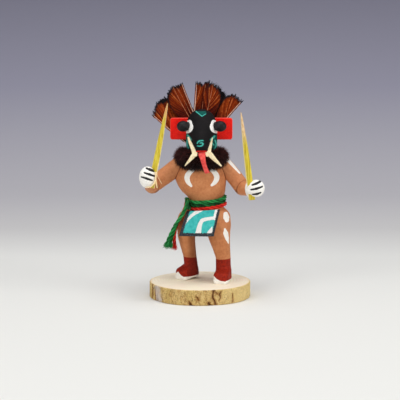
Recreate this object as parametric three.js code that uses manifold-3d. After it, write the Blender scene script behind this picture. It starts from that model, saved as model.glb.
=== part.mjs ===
// A small carved and painted kachina doll on a slice of log.
// Millimetres, +Z up. The origin is the centre of the log slice's underside.
// The figure looks along -Y. "right" and "left" are the figure's own sides,
// so the right arm is at negative X.
import * as THREE from 'three';
import { mergeVertices } from 'three/addons/utils/BufferGeometryUtils.js';
import Module from 'manifold-3d';

const wasm = await Module();
wasm.setup();

// ---------------------------------------------------------------- sizes
const GAP = 0.3;                 // clearance between pieces that touch
const BASE_R = 30.5;             // log slice radius
const BASE_T = 9.25;             // log slice thickness
const BASE_EDGE = 0.5;           // worn edge of the slice

const ARM_R = 5.0;               // upper arm radius
const WRIST_R = 3.7;
const HEAD_X = 0.95;             // the head stands a little to one side
const HEAD_Y = 0.5;
const EAR = { w: 12.0, h: 13.0, t: 2.4, corner: 1.6, zMid: 101.3, y: 0.9 };
const EYE = { r: 3.2, out: 7.6, angle: 63, z: 103.4 };
const RUFF = { x: 0.8, y: -0.4, z: 84.0, ring: 11.4, ringY: 10.4, r: 5.5, rz: 6.4 };
const BELT = { x: 3.6, y: 0, z: 58.5, a: 11.35, b: 9.45, tilt: 5.2, dip: 0.09 };
const GREEN_D = 2.0;             // green yarn
const RED_D = 2.2;               // red yarn
const TAIL_D = 2.0;              // yarn ends
const APRON_T = 0.5;             // painted hide
const TUSK_W = 2.3;
const TUSK_T = 1.5;
const BLADE_W = 4.0;             // yucca leaf, at its widest
const BLADE_T = 1.1;
const FAN = { y: 9.6, z: 104.0, lean: 12, layer: 0.8, t: 0.35 };

// ---------------------------------------------------------------- materials
const paint = (r, g, b, rough = 0.75) =>
  new THREE.MeshStandardMaterial({ color: new THREE.Color(r, g, b), roughness: rough, metalness: 0 });
const SKIN = paint(0.52, 0.24, 0.12);
const BLACK = paint(0.02, 0.02, 0.022, 0.6);
const RED = paint(0.75, 0.03, 0.015, 0.55);
const CREAM = paint(0.8, 0.68, 0.45, 0.6);
const CORAL = paint(0.78, 0.08, 0.06, 0.7);
const FUR = paint(0.045, 0.014, 0.012, 0.9);
const WHITE = paint(0.85, 0.84, 0.82, 0.7);
const LEAF = paint(0.5, 0.42, 0.06, 0.6);
const GREEN = paint(0.02, 0.2, 0.06, 0.9);
const HIDE = paint(0.07, 0.42, 0.42, 0.85);
const FEATHER = paint(0.3, 0.09, 0.02, 0.7);
const LOG = paint(0.72, 0.6, 0.45, 0.85);

// ---------------------------------------------------------------- solids
const V = (x, y, z) => new THREE.Vector3(x, y, z);

function solid(geometry) {
  const g = geometry.clone();
  for (const name of Object.keys(g.attributes)) if (name !== 'position') g.deleteAttribute(name);
  const merged = mergeVertices(g, 1e-4);
  const tri = new Uint32Array(merged.index.array);
  const build = () => new wasm.Manifold(new wasm.Mesh({
    numProp: 3, vertProperties: new Float32Array(merged.attributes.position.array), triVerts: tri,
  }));
  let m = build();
  if (m.volume() < 0) {
    for (let i = 0; i < tri.length; i += 3) [tri[i + 1], tri[i + 2]] = [tri[i + 2], tri[i + 1]];
    m = build();
  }
  return m;
}

function geometryOf(m) {
  const mesh = m.getMesh();
  const p = new Float32Array(mesh.numVert * 3);
  for (let i = 0; i < mesh.numVert; i++)
    p.set(mesh.vertProperties.subarray(i * mesh.numProp, i * mesh.numProp + 3), i * 3);
  const g = new THREE.BufferGeometry();
  g.setAttribute('position', new THREE.BufferAttribute(p, 3));
  g.setIndex(new THREE.BufferAttribute(new Uint32Array(mesh.triVerts), 1));
  g.computeVertexNormals();
  return g;
}

const union = (...parts) => parts.reduce((a, b) => a.add(b));

// The largest connected piece of a solid: drops slivers that a cut leaves.
function mainBody(m) {
  const all = m.decompose();
  return all.sort((a, b) => b.volume() - a.volume())[0];
}

// A closed loft through rings {c, u, v, n}: u and v are half-axis vectors, n is
// the superellipse power of the section. It bends a unit cylinder to shape.
function loft(rings, seg = 16) {
  const rows = rings.length - 1;
  const g = new THREE.CylinderGeometry(1, 1, 1, seg, rows, false);
  const p = g.attributes.position;
  for (let i = 0; i < p.count; i++) {
    const x = p.getX(i), y = p.getY(i), z = p.getZ(i);
    const row = Math.round((0.5 - y) * rows);
    const r = Math.hypot(x, z) > 0.5 ? 1 : 0;
    const k = Math.round((Math.atan2(x, z) / (2 * Math.PI)) * seg);
    const a = (k / seg) * 2 * Math.PI;
    const ring = rings[row];
    const e = 2 / (ring.n ?? 2);
    const s = Math.sign(Math.sin(a)) * Math.abs(Math.sin(a)) ** e * r;
    const c = Math.abs(Math.cos(a)) < 1e-9 ? 0 : Math.sign(Math.cos(a)) * Math.abs(Math.cos(a)) ** e * r;
    const q = ring.c.clone().addScaledVector(ring.u, c).addScaledVector(ring.v, s);
    p.setXYZ(i, q.x, q.y, q.z);
  }
  return solid(g);
}

// 1 on the first ring, -1 on the last: a grown shape is longer at its ends too.
const endShift = (i, n) => (i === 0 ? 1 : i === n - 1 ? -1 : 0);

// Level rings, listed as [z, cx, cy, rx, ry, power].
const levels = (rows, seg, grow = 0) =>
  loft(rows.map(([z, cx, cy, rx, ry, n], i) => ({
    c: V(cx, cy, z + endShift(i, rows.length) * Math.sign(rows[0][0] - rows[1][0]) * grow),
    u: V(rx + grow, 0, 0), v: V(0, ry + grow, 0), n,
  })), seg);

// A tube along points, each [x, y, z, rw, rt]: rw is the half-width along the
// side direction given and rt the half-thickness at right angles to it.
function sweep(points, side, seg = 12, grow = 0, power = 2) {
  const c = points.map((q) => V(q[0], q[1], q[2]));
  return loft(points.map((q, i) => {
    const t = c[Math.min(i + 1, c.length - 1)].clone().sub(c[Math.max(i - 1, 0)]).normalize();
    const w = side.clone().addScaledVector(t, -side.dot(t)).normalize();
    const h = new THREE.Vector3().crossVectors(t, w);
    return { c: c[i].clone().addScaledVector(t, -endShift(i, c.length) * grow), u: w.multiplyScalar(q[3] + grow), v: h.multiplyScalar((q[4] ?? q[3]) + grow), n: power };
  }), seg);
}

function ball(x, y, z, rx, ry, rz, grow = 0, ws = 16, hs = 10) {
  const g = new THREE.SphereGeometry(1, ws, hs);
  g.rotateX(Math.PI / 2);
  g.scale(rx + grow, ry + grow, rz + grow);
  g.translate(x, y, z);
  return solid(g);
}

// ---------------------------------------------------------------- the log slice
function logSlice() {
  const seg = 44;
  const g = new THREE.CylinderGeometry(1, 1, 1, seg, 3, false);
  const p = g.attributes.position;
  for (let i = 0; i < p.count; i++) {
    const a = Math.atan2(p.getX(i), p.getZ(i));
    const row = Math.round((0.5 - p.getY(i)) * 3);
    const on = Math.hypot(p.getX(i), p.getZ(i)) > 0.5 ? 1 : 0;
    const wave = 1 + 0.006 * Math.sin(2 * a + 0.7) + 0.004 * Math.sin(5 * a + 2.1);
    const inset = row === 0 || row === 3 ? BASE_EDGE : 0;
    const z = [BASE_T, BASE_T - BASE_EDGE, BASE_EDGE, 0][row];
    const r = on * (BASE_R * wave - inset);
    p.setXYZ(i, r * Math.sin(a), r * Math.cos(a), z);
  }
  return solid(g);
}

// ---------------------------------------------------------------- the body
// Trunk, hips, legs and boots are one carved piece.
const TRUNK = [
  [88.0, 0.9, 0.5, 4.6, 4.6], [85.6, 0.8, 0.5, 6.4, 5.8], [83.8, 0.8, 0.5, 10.2, 7.4],
  [81.0, 0.6, 0.5, 13.2, 9.0], [76.5, 0.45, 0.2, 15.0, 10.1], [71.5, 0.45, 0, 15.4, 10.5],
  [67.0, 1.2, 0, 14.2, 10.2], [63.6, 2.2, 0, 12.9, 9.5], [61.4, 3.2, 0, 11.4, 8.7],
  [59.6, 3.6, 0, 9.9, 8.1], [56.4, 3.6, 0, 9.8, 8.0], [54.2, 3.4, 0, 10.6, 8.2],
  [52.4, 3.0, 0, 13.6, 8.7], [50.0, 2.7, 0, 15.4, 9.2], [45.5, 2.2, 0, 16.2, 9.6],
  [42.0, 2.2, 0, 15.9, 9.4], [39.0, 2.1, 0, 14.9, 8.7],
];
const LEG_R = [
  [44.0, -6.2, 0.5, 7.2, 8.6], [39.5, -7.6, 0.8, 6.0, 7.2], [36.0, -8.2, 1.5, 5.2, 6.2],
  [30.0, -7.3, 3.3, 4.6, 5.4], [24.0, -6.2, 5.2, 4.0, 4.6], [19.0, -5.6, 6.4, 4.1, 4.4],
  [14.5, -5.3, 7.0, 4.3, 4.6], [11.0, -5.1, 7.3, 4.3, 4.5],
];
const LEG_L = [
  [44.0, 10.4, 0, 7.8, 8.6], [39.5, 11.1, -0.4, 7.1, 7.5], [34.5, 11.7, -0.6, 6.3, 6.5],
  [28.5, 13.0, -0.3, 5.2, 5.6], [23.5, 14.0, 0, 4.5, 4.9], [19.0, 14.1, 0.4, 4.5, 4.8],
  [14.5, 14.2, 0.6, 4.6, 5.0], [11.0, 14.3, 0.8, 4.5, 4.8],
];
// Boots: [along the foot from the heel, half-width, height] from heel to toe.
const BOOT = [
  [0.0, 2.2, 5.4], [1.0, 3.4, 6.8], [4.0, 3.9, 8.4], [8.0, 4.1, 8.6], [11.5, 4.5, 7.4],
  [14.5, 4.5, 6.9], [16.6, 3.8, 6.4], [17.6, 2.6, 5.4],
];
function boot(heel, toe, heelLift, grow = 0) {
  const h = V(heel[0], heel[1], 0), d = V(toe[0], toe[1], 0).sub(h);
  const len = d.length();
  d.normalize();
  const side = V(-d.y, d.x, 0);
  const unit = len / BOOT[BOOT.length - 1][0];
  return loft(BOOT.map(([s, w, top]) => {
    const lift = heelLift * (1 - s / BOOT[BOOT.length - 1][0]);
    const lo = BASE_T + lift - grow, hi = BASE_T + lift * 0.6 + top + grow;
    const along = s * unit - endShift(BOOT.findIndex((b) => b[0] === s), BOOT.length) * grow;
    return {
      c: h.clone().addScaledVector(d, along).setZ((lo + hi) / 2),
      u: side.clone().multiplyScalar(w + grow), v: V(0, 0, (hi - lo) / 2), n: 3.2,
    };
  }), 16);
}
function body(grow = 0) {
  return union(
    levels(TRUNK, 20, grow),
    levels(LEG_R, 14, grow),
    levels(LEG_L, 14, grow),
    boot([-2.5, 13.1], [-12.6, 2.0], 1.3, grow),
    boot([15.6, 6.0], [11.9, -12.0], 0, grow),
  );
}

// ---------------------------------------------------------------- the arms
const ARMS = {
  right: {
    upper: [[-10.5, 0.6, 80.8, 5.3], [-15.5, 0.3, 77.0, 5.2], [-22.0, -0.3, 72.3, 5.0], [-27.2, -0.8, 68.7, 4.9]],
    elbow: [-28.5, -1.2, 67.5, 4.95],
    fore: [[-28.5, -1.2, 67.5, 4.9], [-29.2, -6.0, 69.6, 4.5], [-30.0, -11.5, 72.0, WRIST_R + 0.1], [-30.5, -15.5, 73.7, WRIST_R]],
    fist: [-31.0, -18.2, 74.5, 5.0, 4.9, 6.5],
    blade: [[-18.93, -21.0, 118.3], [-29.7, -17.6, 68.3]],
  },
  left: {
    upper: [[11.6, 0.6, 82.0, 5.2], [15.6, 0.3, 78.0, 5.0], [20.6, -0.3, 72.4, 4.8], [24.4, -0.8, 68.0, 4.7]],
    elbow: [25.3, -1.2, 66.2, 4.75],
    fore: [[25.3, -1.2, 66.2, 4.7], [27.6, -5.5, 66.4, 4.4], [30.2, -10.5, 66.8, WRIST_R + 0.1], [31.6, -13.8, 67.2, WRIST_R]],
    fist: [32.6, -16.9, 67.8, 5.6, 4.9, 5.25],
    blade: [[23.9, -21.0, 113.0], [30.55, -17.2, 61.0]],
  },
};
const upperArm = (a, grow = 0) => union(
  sweep(a.upper, V(0, 1, 0), 12, grow),
  ball(...a.elbow.slice(0, 3), a.elbow[3], a.elbow[3], a.elbow[3], grow, 12, 7),
);
const forearm = (a, grow = 0) => union(
  sweep(a.fore, V(0, 0, 1), 12, grow),
  ball(...a.elbow.slice(0, 3), a.elbow[3] + 0.05, a.elbow[3] + 0.05, a.elbow[3] + 0.05, grow, 12, 7),
  ball(...a.fist, grow, 14, 8),
);
// The yucca leaf: half-widths along its length, from the sharp tip down.
const LEAF_PROFILE = [[0, 0.12], [0.06, 0.3], [0.2, 0.52], [0.42, 0.8], [0.7, 0.97], [1, 1]];
function blade(a, grow = 0) {
  const [tip, end] = a.blade.map((q) => V(...q));
  return sweep(LEAF_PROFILE.map(([s, w]) => {
    const q = tip.clone().lerp(end, s);
    q.y += 0.9 * Math.sin(Math.PI * s);          // a slight bow
    return [q.x, q.y, q.z, (BLADE_W / 2) * w, (BLADE_T / 2) * (0.5 + 0.5 * w)];
  }), V(1, -0.25, 0), 10, grow);
}

// ---------------------------------------------------------------- the head
const HELMET = [
  [88.6, HEAD_X, HEAD_Y, 8.4, 8.2], [90.0, HEAD_X, HEAD_Y, 9.2, 9.0], [95.5, HEAD_X, HEAD_Y, 9.4, 9.3],
  [100.5, HEAD_X, HEAD_Y, 9.2, 9.1], [104.5, HEAD_X, HEAD_Y, 8.85, 8.8], [108.0, HEAD_X, HEAD_Y, 8.0, 8.0],
  [110.6, HEAD_X, HEAD_Y, 6.3, 6.4], [112.2, HEAD_X, HEAD_Y, 3.9, 4.1], [112.8, HEAD_X, HEAD_Y, 1.4, 1.5],
];
// Muzzle: [y, z, half-width, half-height] from inside the head to its end.
const MUZZLE = [
  [-2.5, 101.0, 7.4, 7.4], [-7.5, 99.2, 6.8, 6.6], [-12.0, 96.0, 5.4, 5.3],
  [-15.6, 92.9, 4.2, 4.3], [-18.0, 90.6, 3.3, 3.5],
];
function muzzle(grow = 0) {
  const c = MUZZLE.map(([y, z]) => V(HEAD_X, y, z));
  return loft(MUZZLE.map(([, , w, h], i) => {
    const t = c[Math.min(i + 1, 4)].clone().sub(c[Math.max(i - 1, 0)]).normalize();
    const up = V(0, -t.z, t.y).multiplyScalar(-1);
    return { c: c[i].clone().addScaledVector(t, -endShift(i, 5) * grow), u: V(w + grow, 0, 0), v: up.multiplyScalar(h + grow), n: 2.5 };
  }), 16);
}
function head(grow = 0) {
  let m = union(levels(HELMET, 20, grow), muzzle(grow));
  if (!grow) {
    // The open mouth: a notch under the end of the muzzle.
    const g = new THREE.BoxGeometry(4.8, 5.0, 2.2);
    g.rotateX(THREE.MathUtils.degToRad(38));
    g.translate(HEAD_X, -18.0, 88.6);
    m = m.subtract(solid(g));
  }
  return m;
}
function ear(sign) {
  const { w, h, corner: r } = EAR;
  const s = new THREE.Shape();
  s.moveTo(-w / 2 + r, -h / 2);
  s.lineTo(w / 2 - r, -h / 2);
  s.quadraticCurveTo(w / 2, -h / 2, w / 2, -h / 2 + r);
  s.lineTo(w / 2, h / 2 - r);
  s.quadraticCurveTo(w / 2, h / 2, w / 2 - r, h / 2);
  s.lineTo(-w / 2 + r, h / 2);
  s.quadraticCurveTo(-w / 2, h / 2, -w / 2, h / 2 - r);
  s.lineTo(-w / 2, -h / 2 + r);
  s.quadraticCurveTo(-w / 2, -h / 2, -w / 2 + r, -h / 2);
  const g = new THREE.ExtrudeGeometry(s, { depth: EAR.t, bevelEnabled: false, curveSegments: 3 });
  g.rotateX(Math.PI / 2);
  const outer = sign < 0 ? -17.8 : 19.4;
  g.translate(outer - (sign * w) / 2, EAR.y + EAR.t, EAR.zMid);
  return mainBody(solid(g).subtract(headGrown));
}
function eye(sign) {
  // An egg-shaped peg, turned on its own axis and set into the side of the face.
  const profile = [];
  const steps = 9;
  for (let i = 0; i <= steps; i++) {
    const s = i / steps;
    const z = -1.0 + (EYE.out + 1.0) * s;
    const k = s < 0.45 ? 0.86 + 0.14 * Math.sin((s / 0.45) * Math.PI / 2) : Math.sqrt(Math.max(0, 1 - ((s - 0.45) / 0.55) ** 2));
    profile.push(new THREE.Vector2(i === steps ? 0 : EYE.r * k, z));
  }
  profile.unshift(new THREE.Vector2(0, -1.0));
  const g = new THREE.LatheGeometry(profile, 12);
  const a = THREE.MathUtils.degToRad(EYE.angle);
  const dir = V(sign * Math.sin(a), -Math.cos(a), 0);
  g.applyQuaternion(new THREE.Quaternion().setFromUnitVectors(V(0, 1, 0), dir));
  g.translate(HEAD_X + dir.x * 8.6, HEAD_Y + dir.y * 8.6, EYE.z);
  return mainBody(solid(g).subtract(headGrown));
}
function tusks(sign) {
  // A forked sliver of wood: one point lies up the cheek, one points down.
  const P = sign < 0
    ? { up: [-7.1, -9.6, 96.9], mid: [-2.7, -18.6, 87.9], down: [-8.7, -18.6, 81.8] }
    : { up: [6.8, -9.6, 96.3], mid: [4.9, -18.6, 88.3], down: [12.3, -18.6, 81.8] };
  const arm = (tip, w0, w1) => {
    const a = V(...tip), b = V(...P.mid);
    const d = b.clone().sub(a).normalize();
    const e = b.clone().addScaledVector(d, 0.9);
    const at = (s) => a.clone().lerp(e, s).toArray();
    return sweep([[...at(0), w0, 0.25], [...at(0.3), (w0 + w1) / 2, TUSK_T * 0.36], [...at(1), w1, TUSK_T / 2]],
      V(d.z, 0, -d.x), 8);
  };
  const m = union(arm(P.up, 0.45, TUSK_W * 0.62), arm(P.down, 0.3, TUSK_W * 0.6));
  return mainBody(m.subtract(headGrown).subtract(ruffGrown));
}
function tongue() {
  return mainBody(sweep([
    [1.0, -18.6, 88.6, 2.0, 0.45], [1.2, -20.3, 87.0, 2.2, 0.45], [1.7, -20.9, 84.6, 2.0, 0.42],
    [2.6, -20.5, 81.6, 1.5, 0.42], [3.6, -19.6, 79.2, 1.45, 0.4], [4.2, -18.9, 77.4, 1.5, 0.4],
  ], V(1, 0, 0.25), 8, 0, 3).subtract(headGrown));
}

// ---------------------------------------------------------------- the fur ruff
function ruff(grow = 0) {
  const g = new THREE.TorusGeometry(1, 0.4, 10, 24);
  const p = g.attributes.position;
  for (let i = 0; i < p.count; i++) {
    const a = Math.atan2(p.getY(i), p.getX(i));
    const k = Math.hypot(p.getX(i), p.getY(i)) - 1;      // across the tube
    const b = Math.atan2(p.getZ(i), k);
    const out = (RUFF.r + grow) * Math.cos(b), up = (RUFF.rz + grow) * Math.sin(b);
    p.setXYZ(i, RUFF.x + (RUFF.ring + out) * Math.cos(a), RUFF.y + (RUFF.ringY + out) * Math.sin(a), RUFF.z + up);
  }
  return solid(g);
}

// ---------------------------------------------------------------- the sash
const slope = Math.tan(THREE.MathUtils.degToRad(BELT.tilt));
// A closed ring of yarn round the waist, half-height hz, drop below the top line.
function ring(drop, ra, hz, grow = 0) {
  const g = new THREE.TorusGeometry(1, 0.3, 6, 32);
  const p = g.attributes.position;
  for (let i = 0; i < p.count; i++) {
    const a = Math.atan2(p.getY(i), p.getX(i));
    const b = Math.atan2(p.getZ(i), Math.hypot(p.getX(i), p.getY(i)) - 1);
    const out = (ra + grow) * Math.cos(b), up = (hz + grow) * Math.sin(b);
    const x = (BELT.a + out) * Math.cos(a), y = (BELT.b + out) * Math.sin(a);
    p.setXYZ(i, BELT.x + x, BELT.y + y, BELT.z - drop + x * slope + y * BELT.dip + up);
  }
  return solid(g);
}
const GREEN_HZ = GREEN_D - 0.1;
const greenBelt = (grow = 0) => ring(0, GREEN_D / 2, GREEN_HZ, grow);
const redBelt = (grow = 0) => ring(GREEN_HZ + RED_D / 2 + GAP, RED_D / 2, RED_D / 2, grow);
const KNOT = [-6.1, -8.3, 57.9];
const knot = () => ball(...KNOT, 1.9, 1.7, 1.75, 0, 12, 8);

// The yarn ends that hang from the knot.
const TAILS = {
  green_tail_front: { d: TAIL_D, c: GREEN, p: [
    [-7.7, -10.9, 60.0], [-7.9, -11.2, 57.9], [-8.4, -11.3, 55.6], [-9.9, -11.2, 52.4], [-12.0, -10.8, 49.0],
    [-14.5, -10.0, 45.2], [-17.0, -9.0, 40.2], [-18.8, -8.3, 36.2], [-20.2, -7.8, 32.2]] },
  green_tail_back: { d: TAIL_D, c: GREEN, p: [
    [-8.0, -8.6, 60.2], [-8.1, -8.9, 57.8], [-8.6, -9.0, 55.4], [-10.0, -8.9, 52.1], [-12.0, -8.6, 48.7],
    [-14.0, -7.7, 44.8], [-15.8, -6.5, 40.2], [-17.0, -5.7, 36.2], [-17.9, -5.2, 31.8]] },
  red_tail: { d: RED_D, c: RED, p: [
    [-8.0, -6.2, 60.4], [-8.2, -6.5, 57.7], [-8.8, -6.6, 55.0], [-10.1, -6.6, 51.8], [-11.8, -6.3, 48.3],
    [-13.3, -5.3, 44.4], [-14.5, -4.0, 40.0], [-15.0, -3.0, 36.0], [-14.9, -2.5, 30.9]] },
};
function tail({ d, p }) {
  const curve = new THREE.CatmullRomCurve3(p.map((q) => V(...q)), false, 'centripetal');
  const section = new THREE.Shape();
  for (let i = 0; i < 8; i++) {
    const a = (i / 8) * 2 * Math.PI;
    section[i ? 'lineTo' : 'moveTo']((d / 2) * Math.cos(a), (d / 2) * Math.sin(a));
  }
  section.closePath();
  return new THREE.ExtrudeGeometry(section, { steps: 12, extrudePath: curve, bevelEnabled: false });
}

// ---------------------------------------------------------------- the apron
// A hide flap from the belt down over the thighs. s runs across, t runs down.
const APRON = {
  top: [[-7.7, -9.6, 53.0], [12.0, -9.9, 54.2]],
  bottom: [[-12.6, -12.3, 38.8], [8.1, -13.4, 38.6]],
};
function apronPoint(s, t) {
  const a = V(...APRON.top[0]).lerp(V(...APRON.top[1]), s);
  const b = V(...APRON.bottom[0]).lerp(V(...APRON.bottom[1]), s);
  const q = a.lerp(b, t);
  q.y -= 1.9 * Math.sin(Math.PI * Math.min(1, Math.max(0, s))) * (1 - 0.35 * t);   // round the belly
  q.y -= 0.5 * Math.sin(Math.PI * t);
  return q;
}
function apron() {
  const nx = 10, ny = 6;
  const g = new THREE.BoxGeometry(1, 1, 1, nx, ny, 1);
  const p = g.attributes.position;
  for (let i = 0; i < p.count; i++) {
    const q = apronPoint(p.getX(i) + 0.5, 0.5 - p.getY(i));
    q.y -= (p.getZ(i) * APRON_T);
    p.setXYZ(i, q.x, q.y, q.z);
  }
  return solid(g);
}

// ---------------------------------------------------------------- the crest
// Feathers in a leaning plane behind the head. Each: quill end and tip in that
// plane, vane half-widths on the two sides of the shaft, and its layer.
const CREST = [
  ['feather_1', [-7.0, -13.0], [-28.8, 5.4], 0.3, 9.8, 2],
  ['feather_2', [-6.6, -0.6], [-23.0, 14.2], 4.2, 3.2, 3],
  ['feather_3', [-5.0, 1.0], [-16.6, 22.3], 6.6, 1.8, 0],
  ['feather_4', [-3.6, 1.4], [-14.5, 22.4], 2.0, 2.0, 1],
  ['feather_5', [-1.9, 1.8], [-11.2, 24.4], 4.5, 0.4, 2],
  ['feather_6', [-4.3, 0.6], [-2.0, 24.7], 0.4, 4.8, 3],
  ['feather_7', [0.6, 1.2], [3.6, 24.4], 0.9, 4.3, 2],
  ['feather_8', [2.6, 0.6], [8.0, 24.2], 4.0, 6.2, 0],
  ['feather_9', [4.4, 0.6], [13.4, 18.6], 3.2, 2.6, 3],
  ['feather_10', [6.4, 0.0], [15.0, 17.0], 2.6, 2.6, 2],
  ['feather_11', [9.0, -6.0], [25.5, 13.8], 8.4, 0.4, 1],
];
const vane = (s) => (s < 0.14 ? 0 : s < 0.42 ? Math.sin(((s - 0.14) / 0.28) * Math.PI / 2) ** 0.9
  : s < 0.8 ? 1 : Math.sqrt(Math.max(0, 1 - ((s - 0.8) / 0.22) ** 2)));
function feather([, root, tip, wl, wr]) {
  const a = new THREE.Vector2(...root), b = new THREE.Vector2(...tip);
  const d = b.clone().sub(a), n = new THREE.Vector2(-d.y, d.x).normalize();   // n points to the left side
  const steps = 9, quill = 0.28, left = [], right = [];
  for (let i = 0; i <= steps; i++) {
    const s = i / steps, q = a.clone().addScaledVector(d, s);
    left.push(q.clone().addScaledVector(n, quill + wl * vane(s)));
    right.push(q.clone().addScaledVector(n, -quill - wr * vane(s)));
  }
  const shape = new THREE.Shape([...right, ...left.reverse()]);
  return new THREE.ExtrudeGeometry(shape, { depth: FAN.t, bevelEnabled: false });
}

// ---------------------------------------------------------------- assembly
const bodyGrown = body(GAP), headGrown = head(GAP), ruffGrown = ruff(GAP);
const doll = new THREE.Group();
function place(name, shape, material) {
  const g = shape.isBufferGeometry ? shape : geometryOf(shape);
  const m = new THREE.Mesh(g, material);
  m.name = name;
  doll.add(m);
  return m;
}

place('log_base', logSlice(), LOG);
// The waist is cut to a slanting groove that the yarn lies in.
place('body', mainBody(body().subtract(greenBelt(GAP)).subtract(redBelt(GAP))), SKIN);
for (const side of ['right', 'left']) {
  const a = ARMS[side];
  place(side + '_upper_arm', mainBody(upperArm(a).subtract(bodyGrown).subtract(forearm(a, GAP))), SKIN);
  place(side + '_forearm', mainBody(forearm(a).subtract(blade(a, GAP))), SKIN);
  place(side + '_yucca_blade', blade(a), LEAF);
}
place('head', head(), BLACK);
for (const [side, sign] of [['right', -1], ['left', 1]]) {
  place(side + '_ear', ear(sign), RED);
  place(side + '_eye', eye(sign), BLACK);
  place(side + '_tusks', tusks(sign), CREAM);
}
place('tongue', tongue(), CORAL);
place('fur_ruff', mainBody(ruff().subtract(headGrown).subtract(bodyGrown)
  .subtract(upperArm(ARMS.right, GAP)).subtract(upperArm(ARMS.left, GAP))), FUR);
place('green_belt', greenBelt(), GREEN);
place('red_belt', redBelt(), RED);
const tailsGrown = Object.values(TAILS).map((t) => solid(tail({ ...t, d: t.d + 2 * GAP })));
place('belt_knot', mainBody(tailsGrown.reduce((m, t) => m.subtract(t),
  knot().subtract(greenBelt(GAP)).subtract(redBelt(GAP)))), GREEN);
for (const [name, t] of Object.entries(TAILS)) place(name, tail(t), t.c);
place('apron', apron(), HIDE);

const crest = new THREE.Group();
const lean = THREE.MathUtils.degToRad(FAN.lean);
for (const f of CREST) {
  const m = new THREE.Mesh(feather(f), FEATHER);
  m.name = f[0];
  m.position.set(0, FAN.y + f[5] * FAN.layer * Math.cos(lean), FAN.z - f[5] * FAN.layer * Math.sin(lean));
  m.rotation.x = Math.PI / 2 - lean;
  crest.add(m);
}
doll.add(crest);

export default doll;
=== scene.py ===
import math
import bpy
import numpy as np
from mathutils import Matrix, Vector


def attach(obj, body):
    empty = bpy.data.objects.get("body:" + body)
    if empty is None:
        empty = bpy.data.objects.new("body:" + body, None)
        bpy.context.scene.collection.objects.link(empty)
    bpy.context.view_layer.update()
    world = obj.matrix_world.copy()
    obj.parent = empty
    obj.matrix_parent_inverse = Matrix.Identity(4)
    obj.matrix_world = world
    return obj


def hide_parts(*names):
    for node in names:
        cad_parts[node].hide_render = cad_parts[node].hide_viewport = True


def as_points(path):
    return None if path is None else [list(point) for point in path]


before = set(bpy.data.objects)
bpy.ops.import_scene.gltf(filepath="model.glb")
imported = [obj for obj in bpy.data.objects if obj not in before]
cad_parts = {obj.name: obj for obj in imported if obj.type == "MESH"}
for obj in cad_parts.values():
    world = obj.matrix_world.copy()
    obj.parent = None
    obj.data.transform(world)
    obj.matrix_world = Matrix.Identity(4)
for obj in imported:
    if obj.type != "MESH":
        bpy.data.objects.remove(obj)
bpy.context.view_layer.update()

# A carved and painted doll on a log slice. Lengths below are in millimetres,
# in the frame's axes: +Z up, the figure looks along -Y.
MM = 0.001
rng = np.random.default_rng(11)

# ------------------------------------------------------------------ camera
PITCH = math.radians(8.2)
AIM = np.array([0.0, 0.0, 58.5])
DIST = 1000.0
EYE_AT = AIM + DIST * np.array([0.0, -math.cos(PITCH), math.sin(PITCH)])
cam_data = bpy.data.cameras.new("camera")
cam = bpy.data.objects.new("camera", cam_data)
bpy.context.scene.collection.objects.link(cam)
cam_data.sensor_width = 36
cam_data.lens = 150
cam_data.clip_start, cam_data.clip_end = 0.05, 20
cam.location = Vector(EYE_AT * MM)
cam.rotation_euler = (math.radians(90) - PITCH, 0, 0)
bpy.context.scene.camera = cam


def front(P):
    """Place of a point on the front elevation sheet, 0.6 mm a step, x right, y down."""
    d = np.asarray(P, float) - EYE_AT
    depth = d[..., 1] * math.cos(PITCH) - d[..., 2] * math.sin(PITCH)
    up = d[..., 1] * math.sin(PITCH) + d[..., 2] * math.cos(PITCH)
    k = DIST / 0.6 / depth
    return np.stack([200 + d[..., 0] * k, 200 - up * k], -1)


def facing(N):
    """How much a surface faces the front."""
    return -N[..., 1] * math.cos(PITCH) + N[..., 2] * math.sin(PITCH)


# ------------------------------------------------------------------ numbers
def vnoise(P, scale, seed=0):
    """Smooth lattice noise, 0 to 1, one cell every `scale` mm."""
    P = np.asarray(P, float) / scale + seed * 17.31
    i = np.floor(P).astype(np.int64)
    f = P - i
    f = f * f * (3 - 2 * f)
    out = np.zeros(P.shape[:-1])
    for dx in (0, 1):
        for dy in (0, 1):
            for dz in (0, 1):
                h = (i[..., 0] + dx) * 73856093 ^ (i[..., 1] + dy) * 19349663 ^ (i[..., 2] + dz) * 83492791 ^ seed * 2654435
                h = (h ^ (h >> 13)) * 1274126177 & 0x7FFFFFFF
                h = (h ^ (h >> 15)) & 0xFFFF
                w = (f[..., 0] if dx else 1 - f[..., 0]) * (f[..., 1] if dy else 1 - f[..., 1]) * (f[..., 2] if dz else 1 - f[..., 2])
                out += w * (h / 65535.0)
    return out


def fbm(P, scale, seed=0, octaves=3):
    out, amp, total = 0, 1.0, 0
    for o in range(octaves):
        out = out + amp * vnoise(P, scale / 2 ** o, seed + o)
        total += amp
        amp *= 0.5
    return out / total


def smin(a, b, k):
    h = np.clip(0.5 + 0.5 * (b - a) / k, 0, 1)
    return b + (a - b) * h - k * h * (1 - h)


def smax(a, b, k):
    return -smin(-a, -b, k)


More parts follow.
